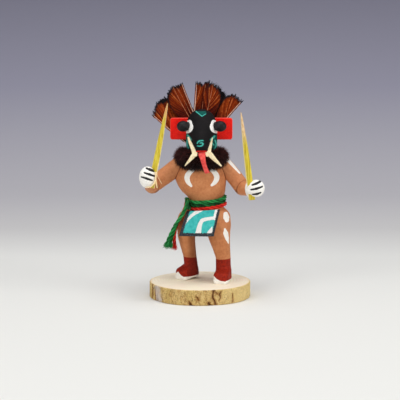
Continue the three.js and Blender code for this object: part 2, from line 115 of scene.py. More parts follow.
def catmull(points, n):
    """n points on a smooth curve through points (any number of columns)."""
    p = np.asarray(points, float)
    d = np.linalg.norm(np.diff(p[:, :3], axis=0), axis=1) ** 0.5
    t = np.concatenate([[0], np.cumsum(d)])
    m = np.zeros_like(p)
    m[1:-1] = ((p[2:] - p[1:-1]) / d[1:, None] * d[:-1, None] + (p[1:-1] - p[:-2]) / d[:-1, None] * d[1:, None]) / (d[1:] + d[:-1])[:, None]
    m[0] = (p[1] - p[0]) / d[0] * 1.5 - m[1] * 0.5
    m[-1] = (p[-1] - p[-2]) / d[-1] * 1.5 - m[-2] * 0.5
    q = np.linspace(0, t[-1], n)
    i = np.clip(np.searchsorted(t, q, side="right") - 1, 0, len(d) - 1)
    h = d[i]
    u = ((q - t[i]) / h)[:, None]
    h = h[:, None]
    return (2 * u**3 - 3 * u**2 + 1) * p[i] + (u**3 - 2 * u**2 + u) * h * m[i] + (-2 * u**3 + 3 * u**2) * p[i + 1] + (u**3 - u**2) * h * m[i + 1]


# ------------------------------------------------------------------ distance fields
def f_levels(rows, soften=0.9):
    """A shape given by level rings (z, cx, cy, rx, ry), blurred along z."""
    r = np.array(sorted(rows), float)
    z = np.linspace(r[0, 0], r[-1, 0], 400)
    tab = np.stack([np.interp(z, r[:, 0], r[:, k]) for k in range(1, 5)], 1)
    step = z[1] - z[0]
    w = max(1, int(2.2 * soften / step))
    ker = np.hanning(2 * w + 3)[1:-1]
    ker /= ker.sum()
    pad = np.pad(tab, ((w, w), (0, 0)), mode="edge")
    tab = np.stack([np.convolve(pad[:, k], ker, "valid") for k in range(4)], 1)

    def f(P):
        q = [np.interp(P[..., 2], z, tab[:, k]) for k in range(4)]
        a, b = (P[..., 0] - q[0]) / q[2], (P[..., 1] - q[1]) / q[3]
        k = np.sqrt(a * a + b * b) + 1e-9
        g = np.sqrt((a / q[2]) ** 2 + (b / q[3]) ** 2) + 1e-9
        d = k * (k - 1) / g
        return smax(smax(d, P[..., 2] - z[-1], 0.8), z[0] - P[..., 2], 0.8)

    return f


def f_tube(points, n=18):
    """A round limb through points (x, y, z, r)."""
    c = catmull(points, n)

    def f(P):
        out = np.full(P.shape[:-1], 1e9)
        for a, b in zip(c[:-1], c[1:]):
            ab = b[:3] - a[:3]
            t = np.clip(((P - a[:3]) @ ab) / (ab @ ab), 0, 1)
            d = np.linalg.norm(P - (a[:3] + t[..., None] * ab), axis=-1) - (a[3] + t * (b[3] - a[3]))
            out = np.minimum(out, d)
        return out

    return f


def f_egg(c, r):
    c, r = np.asarray(c, float), np.asarray(r, float)

    def f(P):
        q = (P - c) / r
        k0 = np.linalg.norm(q, axis=-1) + 1e-9
        k1 = np.linalg.norm(q / r, axis=-1) + 1e-9
        return k0 * (k0 - 1) / k1

    return f


def f_box(c, half, r, axes=None):
    c, half = np.asarray(c, float), np.asarray(half, float)

    def f(P):
        q = P - c
        if axes is not None:
            q = q @ np.asarray(axes, float).T
        q = np.abs(q) - (half - r)
        return np.linalg.norm(np.maximum(q, 0), axis=-1) + np.minimum(q.max(-1), 0) - r

    return f


def gradient(f, P, e=0.05):
    g = np.stack([f(P + e * np.eye(3)[k]) - f(P - e * np.eye(3)[k]) for k in range(3)], -1) / (2 * e)
    return g


def carve(f, lo, hi, h):
    """A quad mesh of the surface f = 0, with its normals. Closed, facing out."""
    lo, hi = np.asarray(lo, float), np.asarray(hi, float)
    ax = [np.arange(lo[k] - h, hi[k] + 2 * h, h) for k in range(3)]
    n = [len(a) for a in ax]
    G = np.empty(n, np.float32)
    Y, Z = np.meshgrid(ax[1], ax[2], indexing="ij")
    for s in range(0, n[0], 16):
        xs = ax[0][s:s + 16]
        P = np.empty((len(xs), n[1], n[2], 3))
        P[..., 0] = xs[:, None, None]
        P[..., 1] = Y
        P[..., 2] = Z
        G[s:s + 16] = f(P)
    inside = G < 0
    cells = [k - 1 for k in n]
    acc = np.zeros(cells + [3], np.float32)
    cnt = np.zeros(cells, np.int32)
    edges = []
    for d in range(3):
        o = [x for x in range(3) if x != d]
        a = tuple(slice(0, -1) if k == d else slice(None) for k in range(3))
        b = tuple(slice(1, None) if k == d else slice(None) for k in range(3))
        idx = np.argwhere(inside[a] != inside[b])
        ia = tuple(idx.T)
        ib = list(ia)
        ib[d] = ib[d] + 1
        g0, g1 = G[ia], G[tuple(ib)]
        t = g0 / (g0 - g1)
        p = idx.astype(np.float32)
        p[:, d] += t
        for s1 in (0, 1):
            for s2 in (0, 1):
                c = idx.copy()
                c[:, o[0]] -= s1
                c[:, o[1]] -= s2
                ok = np.all((c >= 0) & (c < np.array(cells)), axis=1)
                np.add.at(acc, tuple(c[ok].T), p[ok])
                np.add.at(cnt, tuple(c[ok].T), 1)
        edges.append((d, o, idx, inside[ia]))
    used = cnt > 0
    number = -np.ones(cells, np.int64)
    number[used] = np.arange(used.sum())
    V = (acc[used] / cnt[used][:, None]) * h + np.array([a[0] for a in ax])
    quads = []
    for d, o, idx, first_in in edges:
        if d == 1:
            o = [o[1], o[0]]
        c = idx
        ring = []
        for s1, s2 in ((0, 0), (1, 0), (1, 1), (0, 1)):
            q = c.copy()
            q[:, o[0]] -= s1
            q[:, o[1]] -= s2
            ring.append(q)
        ok = np.all([np.all((q >= 0) & (q < np.array(cells)), axis=1) for q in ring], axis=0)
        Q = np.stack([number[tuple(q[ok].T)] for q in ring], 1)
        fi = first_in[ok]
        Q[~fi] = Q[~fi][:, ::-1]
        quads.append(Q)
    F = np.concatenate(quads)
    for _ in range(2):
        g = gradient(f, V)
        g2 = (g * g).sum(-1) + 1e-9
        step = np.clip(f(V) / g2, -0.5 * h, 0.5 * h)
        V = V - step[:, None] * g
    N = gradient(f, V)
    N /= np.linalg.norm(N, axis=1)[:, None] + 1e-9
    return V, F, N


# ------------------------------------------------------------------ meshes
def piece(name, V, F, mat, slot=None, replaces=(), attrs=None, smooth=True):
    me = bpy.data.meshes.new(name)
    V = np.asarray(V, np.float32) * MM
    Fs = F if isinstance(F, list) else [F]
    loops = np.concatenate([np.asarray(x).ravel() for x in Fs]).astype(np.int32)
    sizes = np.concatenate([np.full(len(x), np.asarray(x).shape[1]) for x in Fs])
    starts = np.concatenate([[0], np.cumsum(sizes)[:-1]]).astype(np.int32)
    me.vertices.add(len(V))
    me.vertices.foreach_set("co", V.ravel())
    me.loops.add(len(loops))
    me.loops.foreach_set("vertex_index", loops)
    me.polygons.add(len(starts))
    me.polygons.foreach_set("loop_start", starts)
    me.polygons.foreach_set("use_smooth", np.full(len(starts), smooth))
    me.update(calc_edges=True)
    me.validate()
    for k, v in (attrs or {}).items():
        a = me.attributes.new(k, "FLOAT", "POINT")
        a.data.foreach_set("value", np.asarray(v, np.float32))
    me.materials.append(mat)
    o = bpy.data.objects.new(name, me)
    bpy.context.scene.collection.objects.link(o)
    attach(o, "root")
    if replaces:
        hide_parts(*replaces)
    return o


class Pile:
    """Collects many small closed meshes, with per-point values, into one."""

    def __init__(self):
        self.V, self.F, self.A, self.n = [], [], {}, 0

    def add(self, V, F, **attrs):
        self.V.append(V)
        for x in F if isinstance(F, list) else [F]:
            self.F.append(np.asarray(x) + self.n)
        for k, v in attrs.items():
            self.A.setdefault(k, []).append(np.broadcast_to(v, (len(V),)))
        self.n += len(V)

    def make(self, name, mat, **kw):
        by = {}
        for x in self.F:
            by.setdefault(x.shape[1], []).append(x)
        return piece(name, np.concatenate(self.V), [np.concatenate(x) for x in by.values()], mat,
                     attrs={k: np.concatenate(v) for k, v in self.A.items()}, **kw)


def frames(c, up=(0.31, 0.17, 0.93), closed=False):
    """Tangent and two normals that don't twist, along points c."""
    if closed:
        T = np.roll(c, -1, 0) - np.roll(c, 1, 0)
    else:
        T = np.gradient(c, axis=0)
    T /= np.linalg.norm(T, axis=1)[:, None] + 1e-12
    up = np.asarray(up, float)
    A = np.empty_like(T)
    a = up - (up @ T[0]) * T[0]
    for i in range(len(T)):
        a = a - (a @ T[i]) * T[i]
        a /= np.linalg.norm(a) + 1e-12
        A[i] = a
    return T, A, np.cross(T, A)


def skin_tube(c, A, B, ra, rb, sides=12, closed=False, power=2.0):
    """Closed tube: rings of half-widths ra along A and rb along B."""
    n = len(c)
    ang = np.arange(sides) / sides * 2 * math.pi
    e = 2.0 / power
    ca = np.sign(np.cos(ang)) * np.abs(np.cos(ang)) ** e
    sa = np.sign(np.sin(ang)) * np.abs(np.sin(ang)) ** e
    ra = np.broadcast_to(ra, (n,)) if np.ndim(ra) < 2 else ra
    rb = np.broadcast_to(rb, (n,)) if np.ndim(rb) < 2 else rb
    if ra.ndim == 1:
        ra, rb = ra[:, None], rb[:, None]
    V = c[:, None, :] + (ra * ca)[..., None] * A[:, None, :] + (rb * sa)[..., None] * B[:, None, :]
    V = V.reshape(-1, 3)
    i = np.arange(n if closed else n - 1)[:, None] * sides
    j = np.arange(sides)[None, :]
    k = (j + 1) % sides
    nx = (i + sides) % (n * sides)
    F = np.stack([i + j, i + k, nx + k, nx + j], -1).reshape(-1, 4)
    if closed:
        return V, [F]
    V = np.concatenate([V, c[:1], c[-1:]])
    a, b = n * sides, n * sides + 1
    j = np.arange(sides)
    k = (j + 1) % sides
    cap0 = np.stack([np.full(sides, a), k, j], 1)
    off = (n - 1) * sides
    cap1 = np.stack([np.full(sides, b), off + j, off + k], 1)
    return V, [F, np.concatenate([cap0, cap1])]


def hairs(roots, dirs, length, radius, bend, segs=3):
    """Tapered three-sided strands. bend is added to the direction as it grows."""
    n = len(roots)
    d = dirs / (np.linalg.norm(dirs, axis=1)[:, None] + 1e-9)
    side = np.cross(d, np.array([0.23, 0.61, 0.76]))
    side /= np.linalg.norm(side, axis=1)[:, None] + 1e-9
    other = np.cross(d, side)
    pts, p, cur = [roots], roots.copy(), d.copy()
    for s in range(segs):
        cur = cur + bend / segs
        cur /= np.linalg.norm(cur, axis=1)[:, None] + 1e-9
        p = p + cur * (length / segs)[:, None]
        pts.append(p)
    V, base = [], 3 * segs + 1
    for s in range(segs):
        r = (radius * (1 - s / segs) ** 0.7)[:, None]
        for k in range(3):
            a = k * 2 * math.pi / 3
            V.append(pts[s] + r * (math.cos(a) * side + math.sin(a) * other))
    V.append(pts[-1])
    V = np.stack(V, 1).reshape(-1, 3)
    o = (np.arange(n) * base)[:, None]
    quads, tris = [], [o + np.array([[0, 2, 1]])]
    for s in range(segs - 1):
        for k in range(3):
            quads.append(o + np.array([[s * 3 + k, s * 3 + (k + 1) % 3, s * 3 + 3 + (k + 1) % 3, s * 3 + 3 + k]]))
    for k in range(3):
        s = (segs - 1) * 3
        tris.append(o + np.array([[s + k, s + (k + 1) % 3, s + 3]]))
    along = np.tile(np.concatenate([np.repeat(np.arange(segs) / segs, 3), [1.0]]), n)
    return V, [np.concatenate(quads), np.concatenate(tris)], along, base


# ------------------------------------------------------------------ painted outlines
def stroke(Q, pts):
    """Distance to a brush stroke on a flat sheet: pts are (x, y, half-width)."""
    pts = np.asarray(pts, float)
    out = np.full(len(Q), 1e9)
    for a, b in zip(pts[:-1], pts[1:]):
        ab = b[:2] - a[:2]
        t = np.clip(((Q - a[:2]) @ ab) / (ab @ ab), 0, 1)
        d = np.linalg.norm(Q - (a[:2] + t[:, None] * ab), axis=1) - (a[2] + t * (b[2] - a[2]))
        out = np.minimum(out, d)
    return out


def curve2(pts, n=14):
    p = np.asarray(pts, float)
    q = catmull(np.column_stack([p[:, 0], p[:, 1], np.zeros(len(p)), p[:, 2]]), n)
    return q[:, [0, 1, 3]]


def poly(Q, pts):
    """Signed distance to a polygon, negative inside."""
    pts = np.asarray(pts, float)
    d = np.full(len(Q), 1e9)
    inside = np.zeros(len(Q), bool)
    for a, b in zip(pts, np.roll(pts, -1, 0)):
        ab = b - a
        t = np.clip(((Q - a) @ ab) / (ab @ ab + 1e-12), 0, 1)
        d = np.minimum(d, np.linalg.norm(Q - (a + t[:, None] * ab), axis=1))
        cross = (a[1] > Q[:, 1]) != (b[1] > Q[:, 1])
        xs = a[0] + (Q[:, 1] - a[1]) * (b[0] - a[0]) / (b[1] - a[1] + 1e-12)
        inside ^= cross & (Q[:, 0] < xs)
    return np.where(inside, -d, d)


def only(d, keep, far=3.0):
    """Keeps a painted distance where keep is true; elsewhere it is unpainted."""
    return np.where(keep, d, far)


# ------------------------------------------------------------------ materials
def lin(r, g, b):
    """A colour given as 0-255 display values."""
    f = lambda c: (c / 255) / 12.92 if c / 255 <= 0.04045 else ((c / 255 + 0.055) / 1.055) ** 2.4
    return (f(r), f(g), f(b), 1.0)


class G:
    """One node material. Lengths in its coordinates are millimetres."""

    def __init__(self, name, rough=0.7, spec=0.35, sheen=0.0, sheen_tint=None):
        self.m = bpy.data.materials.new(name)
        self.m.use_nodes = True
        self.nt = self.m.node_tree
        self.b = self.nt.nodes["Principled BSDF"]
        self.b.inputs["Specular IOR Level"].default_value = spec
        self.b.inputs["Roughness"].default_value = rough
        if sheen:
            self.b.inputs["Sheen Weight"].default_value = sheen
            self.b.inputs["Sheen Roughness"].default_value = 0.45
            if sheen_tint:
                self.b.inputs["Sheen Tint"].default_value = sheen_tint
        self._obj = None

    def node(self, t):
        return self.nt.nodes.new(t)

    def put(self, sock, v):
        if isinstance(v, bpy.types.NodeSocket):
            self.nt.links.new(v, sock)
        else:
            sock.default_value = v

    def obj(self, stretch=(1, 1, 1)):
        """Object coordinates in mm, squeezed along an axis to draw grain."""
        if self._obj is None:
            self._obj = self.node("ShaderNodeTexCoord").outputs["Object"]
        v = self.node("ShaderNodeVectorMath")
        v.operation = "MULTIPLY"
        self.put(v.inputs[0], self._obj)
        v.inputs[1].default_value = tuple(1000.0 * s for s in stretch)
        return v.outputs[0]

    def attr(self, name):
        n = self.node("ShaderNodeAttribute")
        n.attribute_name = name
        return n.outputs["Fac"]

    def vec(self, x, y, z):
        n = self.node("ShaderNodeCombineXYZ")
        for s, v in zip(n.inputs, (x, y, z)):
            self.put(s, v)
        return n.outputs[0]

    def noise(self, size, detail=3.0, rough=0.55, vec=None, distort=0.0):
        n = self.node("ShaderNodeTexNoise")
        self.put(n.inputs["Vector"], vec if vec is not None else self.obj())
        n.inputs["Scale"].default_value = 1.0 / size
        n.inputs["Detail"].default_value = detail
        n.inputs["Roughness"].default_value = rough
        n.inputs["Distortion"].default_value = distort
        return n.outputs["Fac"]

    def cells(self, size, vec=None):
        n = self.node("ShaderNodeTexVoronoi")
        self.put(n.inputs["Vector"], vec if vec is not None else self.obj())
        n.inputs["Scale"].default_value = 1.0 / size
        return n.outputs["Distance"]

    def math(self, op, a, b=0.0, c=None):
        n = self.node("ShaderNodeMath")
        n.operation = op
        self.put(n.inputs[0], a)
        self.put(n.inputs[1], b)
        if c is not None:
            self.put(n.inputs[2], c)
        return n.outputs[0]

    def span(self, v, a, b, lo=0.0, hi=1.0, smooth=True):
        n = self.node("ShaderNodeMapRange")
        n.interpolation_type = "SMOOTHSTEP" if smooth else "LINEAR"
        self.put(n.inputs["Value"], v)
        for k, x in (("From Min", a), ("From Max", b), ("To Min", lo), ("To Max", hi)):
            n.inputs[k].default_value = x
        return n.outputs["Result"]

    def ramp(self, fac, stops):
        n = self.node("ShaderNodeValToRGB")
        self.put(n.inputs["Fac"], fac)
        e = n.color_ramp.elements
        while len(e) < len(stops):
            e.new(0.5)
        for x, (p, c) in zip(e, stops):
            x.position = p
            x.color = c if len(c) == 4 else (*c, 1.0)
        return n.outputs["Color"]

    def mix(self, fac, a, b, how="MIX"):
        n = self.node("ShaderNodeMix")
        n.data_type = "RGBA"
        n.blend_type = how
        n.clamp_factor = True
        self.put(n.inputs["Factor"], fac)
        self.put(n.inputs["A"] if False else n.inputs[6], a)
        self.put(n.inputs[7], b)
        return n.outputs[2]

    def wob(self, d, amp=0.25, size=0.7):
        """A painted edge that wavers like a brush's."""
        n = self.math("SUBTRACT", self.noise(size, 2.0), 0.5)
        return self.math("MULTIPLY_ADD", n, amp, d)

    def mask(self, d, amp=0.25, size=0.7, soft=0.07):
        return self.span(self.wob(d, amp, size), soft, -soft)

    def bump(self, height, strength=0.5, dist=0.1, after=None):
        n = self.node("ShaderNodeBump")
        n.inputs["Strength"].default_value = strength
        n.inputs["Distance"].default_value = dist * MM
        self.put(n.inputs["Height"], height)
        if after is not None:
            self.put(n.inputs["Normal"], after)
        return n.outputs["Normal"]

    def done(self, color, rough=None, normal=None):
        self.put(self.b.inputs["Base Color"], color)
        if rough is not None:
            self.put(self.b.inputs["Roughness"], rough)
        if normal is not None:
            self.put(self.b.inputs["Normal"], normal)
        return self.m


WHITE = lin(238, 234, 226)
BLACKP = lin(30, 27, 29)


def painted(name, base, tones, layers=(), rough=0.62, grain=0.35, spec=0.3, painted_shade=None):
    """Matte paint brushed on carved wood. layers are (attribute, colour, options such as tone, amp, size, soft and
    raise).
    """
    g = G(name, rough, spec)
    big, small = g.noise(9.0, 3.0), g.noise(1.3, 4.0, 0.6)
    fac = g.math("MULTIPLY_ADD", small, 0.45, g.math("MULTIPLY", big, 0.6))
    col = g.ramp(fac, [(0.3, tones[0]), (0.52, base), (0.75, tones[1])])
    grainy = g.noise(0.55, 3.0, 0.6, g.obj((1, 1, 0.16)))
    col = g.mix(g.span(grainy, 0.56, 0.8, 0.0, 0.22), col, tones[0])
    h = g.math("MULTIPLY_ADD", grainy, 0.5, small)
    r = g.span(small, 0.2, 0.8, rough - 0.08, rough + 0.08)
    for attr, c, k in layers:
        m = g.mask(g.attr(attr), k.get("amp", 0.3), k.get("size", 0.8), k.get("soft", 0.07))
        shade = g.mix(g.span(g.noise(1.0, 3.0), 0.25, 0.75), c, k.get("tone", c))
        col = g.mix(m, col, shade)
        h = g.math("MULTIPLY_ADD", m, k.get("raise", 0.6), h)
    # painted shade: where the painted_shade attribute is high, the colour is mixed towards a dark brown
    if painted_shade:
        col = g.mix(g.math("MULTIPLY", g.attr(painted_shade), g.span(small, 0.2, 0.8, 0.42, 0.58)), col, lin(50, 10, 4))
    return g.done(col, r, g.bump(h, grain, 0.12))


# ------------------------------------------------------------------ the log slice
BASE_R, BASE_T = 30.5, 9.25


def log_slice():
    n = 440
    ang = np.arange(n) / n * 2 * math.pi
    wave = 1 + 0.006 * np.sin(2 * ang + 0.7) + 0.004 * np.sin(5 * ang + 2.1)
    rows = [(0.0, 0.0, 0), (0.3, 0.0, 0), (0.7, 0.0, 0), (0.94, 0.0, 0), (0.978, 0.0, 0), (0.99, 0.12, 1)]
    rows += [(1.0, z, 1) for z in np.linspace(0.4, BASE_T - 0.45, 26)]
    rows += [(0.993, BASE_T - 0.16, 1), (0.984, BASE_T - 0.03, 0.4), (0.975, BASE_T, 0)]
    rows += [(k, BASE_T, 0) for k in np.linspace(0.96, 0.02, 44)]
    V, bark, s_at = [], [], []
    arc = ang * BASE_R
    for k, z, on in rows:
        P = np.stack([np.sin(ang) * BASE_R, np.cos(ang) * BASE_R, np.full(n, z)], 1)
        # fissures run up the bark; plates stand between them
        q = np.stack([P[:, 0], P[:, 1], P[:, 2] * 0.28], 1)
        fiss = np.abs(fbm(q, 3.1, 3, 3) - 0.5) * 2 + 0.10 * (fbm(P, 2.6, 15, 2) > 0.5)
        plate = fbm(q * 1.0 + 40, 1.3, 8, 2)
        relief = (-0.55 * np.exp(-(fiss / 0.10) ** 2) + 0.35 * (plate - 0.5)) * on
        r = BASE_R * wave * k + relief
        V.append(np.stack([r * np.sin(ang), r * np.cos(ang), np.full(n, z) + (fbm(P, 7, 5) - 0.5) * 0.12 * (z == BASE_T)], 1))
        bark.append(np.full(n, on, float))
    V = np.concatenate(V)
    m = len(rows)
    i = np.arange(m - 1)[:, None] * n
    j = np.arange(n)[None, :]
    F = np.stack([i + j, i + n + j, i + n + (j + 1) % n, i + (j + 1) % n], -1).reshape(-1, 4)
    # close the centres: the underside's first ring is one point, the top's is a small ring
    V = np.concatenate([V, [[0, 0, BASE_T]]])
    top = (m - 1) * n
    cap = np.stack([top + np.arange(n), np.full(n, len(V) - 1), top + (np.arange(n) + 1) % n], 1)
    F0 = F[n:]
    V[:n] = [0, 0, 0]
    V0 = V.copy()
    first = np.stack([np.zeros(n, int), n + np.arange(n), n + (np.arange(n) + 1) % n], 1)
    a = np.arctan2(V0[:, 0], V0[:, 1])
    z = V0[:, 2]
    rr = np.hypot(V0[:, 0], V0[:, 1])
    # unrolled bark sheet: x to the right of the front, z up
    af = np.arctan2(V0[:, 0], -V0[:, 1])
    S = np.stack([af * BASE_R, z], 1)
    crack = np.minimum.reduce([
        stroke(S, curve2([(8.4, 9.4, 0.7), (7.9, 7.3, 0.45), (7.6, 5.0, 0.55), (8.6, 3.0, 0.42), (9.3, 0.6, 0.5)])),
        stroke(S, curve2([(8.3, 9.0, 0.35), (9.9, 7.4, 0.22), (11.0, 6.4, 0.1)], 8)),
        stroke(S, curve2([(12.9, 8.2, 0.2), (12.0, 6.4, 0.34), (12.5, 4.6, 0.3), (11.4, 3.0, 0.12)], 8)),
        stroke(S, curve2([(-32.9, 5.6, 0.2), (-32.5, 3.0, 0.5), (-31.8, 0.6, 0.4)], 8)),
        stroke(S, curve2([(-37.2, 9.0, 0.5), (-36.6, 5.5, 0.75), (-37.0, 1.0, 0.6)], 8)),
        stroke(S, curve2([(5.2, 1.6, 0.7), (5.9, 0.3, 0.6), (7.0, 0.1, 0.3)], 8)),
        stroke(S, curve2([(-6.3, 2.4, 0.35), (-5.6, 0.9, 0.7), (-4.6, 0.2, 0.4)], 8)),
        stroke(S, curve2([(-2.4, 5.6, 0.15), (-1.2, 4.6, 0.3), (-0.6, 3.0, 0.12)], 8)),
        stroke(S, curve2([(20.8, 6.0, 0.12), (21.2, 3.8, 0.34), (20.9, 1.0, 0.2)], 8)),
        stroke(S, curve2([(60.0, 9.0, 0.3), (61.0, 4.6, 0.45), (60.2, 0.8, 0.3)], 8)),
        stroke(S, curve2([(-70.0, 8.0, 0.2), (-69.2, 4.6, 0.4), (-69.6, 1.8, 0.2)], 8)),
    ])
    crack = np.where(bark_all := np.concatenate([np.concatenate(bark), [0.0]]) > 0.2, crack, 3.0)
    grey = np.minimum(stroke(S, [(-30.4, 8.0, 3.3), (-28.6, 1.5, 3.0)]), stroke(S, [(72.0, 6.0, 5.0), (76.0, 2.0, 4.0)]))
    V0 = V0 - np.where(bark_all & (crack < 0.15), 0.42, 0)[:, None] * np.stack([np.sin(a), np.cos(a), 0 * a], 1) * np.clip(-(crack - 0.15) / 0.4, 0, 1)[:, None]
    used = np.unique(np.concatenate([F0.ravel(), cap.ravel(), first.ravel()]))
    back = -np.ones(len(V0), int)
    back[used] = np.arange(len(used))

    g = G("sawn_log", 0.8, 0.25)
    side = g.attr("bark")
    # sawn face: pale, with faint rings round a heart that is off centre
    xyz = g.obj()
    sep = g.node("ShaderNodeSeparateXYZ")
    g.put(sep.inputs[0], xyz)
    dx = g.math("SUBTRACT", sep.outputs[0], -3.5)
    dy = g.math("SUBTRACT", sep.outputs[1], 4.0)
    rad = g.math("SQRT", g.math("ADD", g.math("MULTIPLY", dx, dx), g.math("MULTIPLY", dy, dy)))
    rad = g.math("MULTIPLY_ADD", g.noise(9.0, 3.0), 3.2, rad)
    ring = g.math("SINE", g.math("MULTIPLY", rad, 3.6))
    fine = g.noise(0.5, 3.0)
    ringf = g.math("MULTIPLY_ADD", fine, 0.9, g.span(ring, -1, 1))
    face = g.ramp(g.math("MULTIPLY", ringf, 0.6), [(0.1, lin(246, 230, 200)), (0.5, lin(252, 241, 215)), (0.9, lin(252, 248, 224))])
    face = g.mix(g.span(g.noise(14.0, 2.0), 0.35, 0.7, 0.0, 0.55), face, lin(250, 232, 212))
    saw = g.noise(0.7, 2.0, 0.5, g.obj((0.08, 1.0, 1.0)))
    face = g.mix(g.span(saw, 0.6, 0.85, 0.0, 0.25), face, lin(225, 201, 169))
    edge = g.span(g.math("SQRT", g.math("ADD", g.math("MULTIPLY", sep.outputs[0], sep.outputs[0]), g.math("MULTIPLY", sep.outputs[1], sep.outputs[1]))), 28.4, 29.9)
    face = g.mix(g.math("MULTIPLY", edge, 0.6), face, lin(244, 215, 161))
    # bark edge
    up = g.obj((1, 1, 0.5))
    b1, b2, b3 = g.noise(2.6, 5.0, 0.62, up, 0.4), g.noise(0.8, 4.0, 0.65, up), g.noise(7.0, 3.0)
    rind = g.ramp(g.math("MULTIPLY_ADD", b2, 0.45, g.math("MULTIPLY", b1, 0.55)),
                  [(0.33, lin(132, 92, 44)), (0.43, lin(190, 152, 92)), (0.54, lin(216, 186, 124)), (0.7, lin(232, 208, 152))])
    rind = g.mix(g.span(b3, 0.42, 0.62, 0.0, 0.6), rind, lin(206, 178, 108))
    speck = g.span(g.noise(0.5, 4.0, 0.8, g.obj((1, 1, 0.8))), 0.525, 0.59)
    speck = g.math("MULTIPLY", speck, g.span(g.noise(4.2, 3.0), 0.34, 0.54, 0.3, 1.0))
    rind = g.mix(g.math("MULTIPLY", speck, 0.9), rind, lin(74, 44, 18))
    blot = g.math("MULTIPLY", g.span(g.noise(2.2, 4.0, 0.7, g.obj((1, 1, 0.5))), 0.55, 0.68), 0.5)
    rind = g.mix(blot, rind, lin(156, 112, 54))
    rind = g.mix(g.span(sep.outputs[0], 2.0, 27.0, 0.0, 0.5), rind, lin(236, 212, 148))
    greym = g.math("MULTIPLY", g.mask(g.attr("grey"), 3.6, 1.6, 1.5), g.span(g.noise(1.5, 3.0, 0.6, g.obj((1, 1, 0.4))), 0.30, 0.46, 0.35, 1.0))
    greyc = g.ramp(g.noise(0.9, 3.0, 0.6, g.obj((1, 1, 0.15))), [(0.35, lin(120, 98, 84)), (0.5, lin(190, 176, 166)), (0.7, lin(206, 192, 178))])
    rind = g.mix(greym, rind, greyc)
    wide = g.mask(g.math("SUBTRACT", g.attr("crack"), 0.55), 2.2, 0.9, 0.6)
    rind = g.mix(g.math("MULTIPLY", wide, 0.62), rind, lin(146, 90, 34))
    rind = g.mix(g.mask(g.math("ADD", g.attr("crack"), 0.04), 1.5, 0.5, 0.26), rind, lin(84, 46, 16))
    col = g.mix(g.span(side, 0.25, 0.6), face, rind)
    h = g.mix(g.span(side, 0.25, 0.6), g.math("MULTIPLY_ADD", saw, 0.5, g.math("MULTIPLY", fine, 0.3)), g.math("ADD", g.math("MULTIPLY", b2, 1.4), b1))
    mat = g.done(col, g.span(side, 0.3, 0.6, 0.72, 0.88), g.bump(h, 0.55, 0.16))
    piece("log_slice", V0[used], [back[F0], back[cap], back[first]], mat, "log", ["log_base"],
          {"bark": np.concatenate([np.concatenate(bark), [0.0]])[used], "crack": crack[used], "grey": grey[used]})


log_slice()

# ------------------------------------------------------------------ trunk, legs and boots
TRUNK = [
    (88.0, 0.9, 0.5, 4.6, 4.6), (85.6, 0.8, 0.5, 6.4, 5.8), (83.8, 0.8, 0.5, 10.2, 7.4), (81.0, 0.6, 0.5, 13.2, 9.0),
    (76.5, 0.45, 0.2, 15.0, 10.1), (71.5, 0.45, 0, 15.4, 10.5), (67.0, 1.2, 0, 14.2, 10.2), (63.6, 2.2, 0, 12.9, 9.5),
    (61.4, 3.2, 0, 11.2, 8.6), (59.6, 3.6, 0, 10.3, 8.3), (56.4, 3.6, 0, 10.2, 8.2), (54.2, 3.4, 0, 10.6, 8.3),
    (52.4, 3.0, 0, 13.4, 8.7), (50.0, 2.7, 0, 15.4, 9.2), (45.5, 2.2, 0, 16.2, 9.6), (42.0, 2.2, 0, 15.9, 9.4), (38.6, 2.1, 0, 14.6, 8.5)]
LEG_R = [(46.0, -5.2, 0.5, 7.4, 8.8), (44.0, -6.2, 0.5, 7.2, 8.6), (39.5, -7.6, 0.8, 6.0, 7.2), (36.0, -8.2, 1.5, 5.2, 6.2), (30.0, -7.3, 3.3, 4.6, 5.4),
         (24.0, -6.2, 5.2, 4.0, 4.6), (19.0, -5.6, 6.4, 4.1, 4.4), (14.5, -5.3, 7.0, 4.3, 4.6), (11.0, -5.1, 7.3, 4.3, 4.5)]
LEG_L = [(46.0, 9.6, 0, 7.8, 8.8), (44.0, 10.4, 0, 7.8, 8.6), (39.5, 11.1, -0.4, 7.1, 7.5), (34.5, 11.7, -0.6, 6.3, 6.5), (28.5, 13.0, -0.3, 5.2, 5.6),
         (23.5, 14.0, 0, 4.5, 4.9), (19.0, 14.1, 0.4, 4.5, 4.8), (14.5, 14.2, 0.6, 4.6, 5.0), (11.0, 14.3, 0.8, 4.5, 4.8)]
BOOT = np.array([(0.0, 2.6, 5.2), (1.0, 3.5, 6.8), (4.0, 4.0, 8.6), (8.0, 4.2, 8.8), (11.5, 4.6, 7.5), (14.5, 4.6, 6.9), (16.6, 4.1, 6.5), (17.6, 3.4, 5.8)])


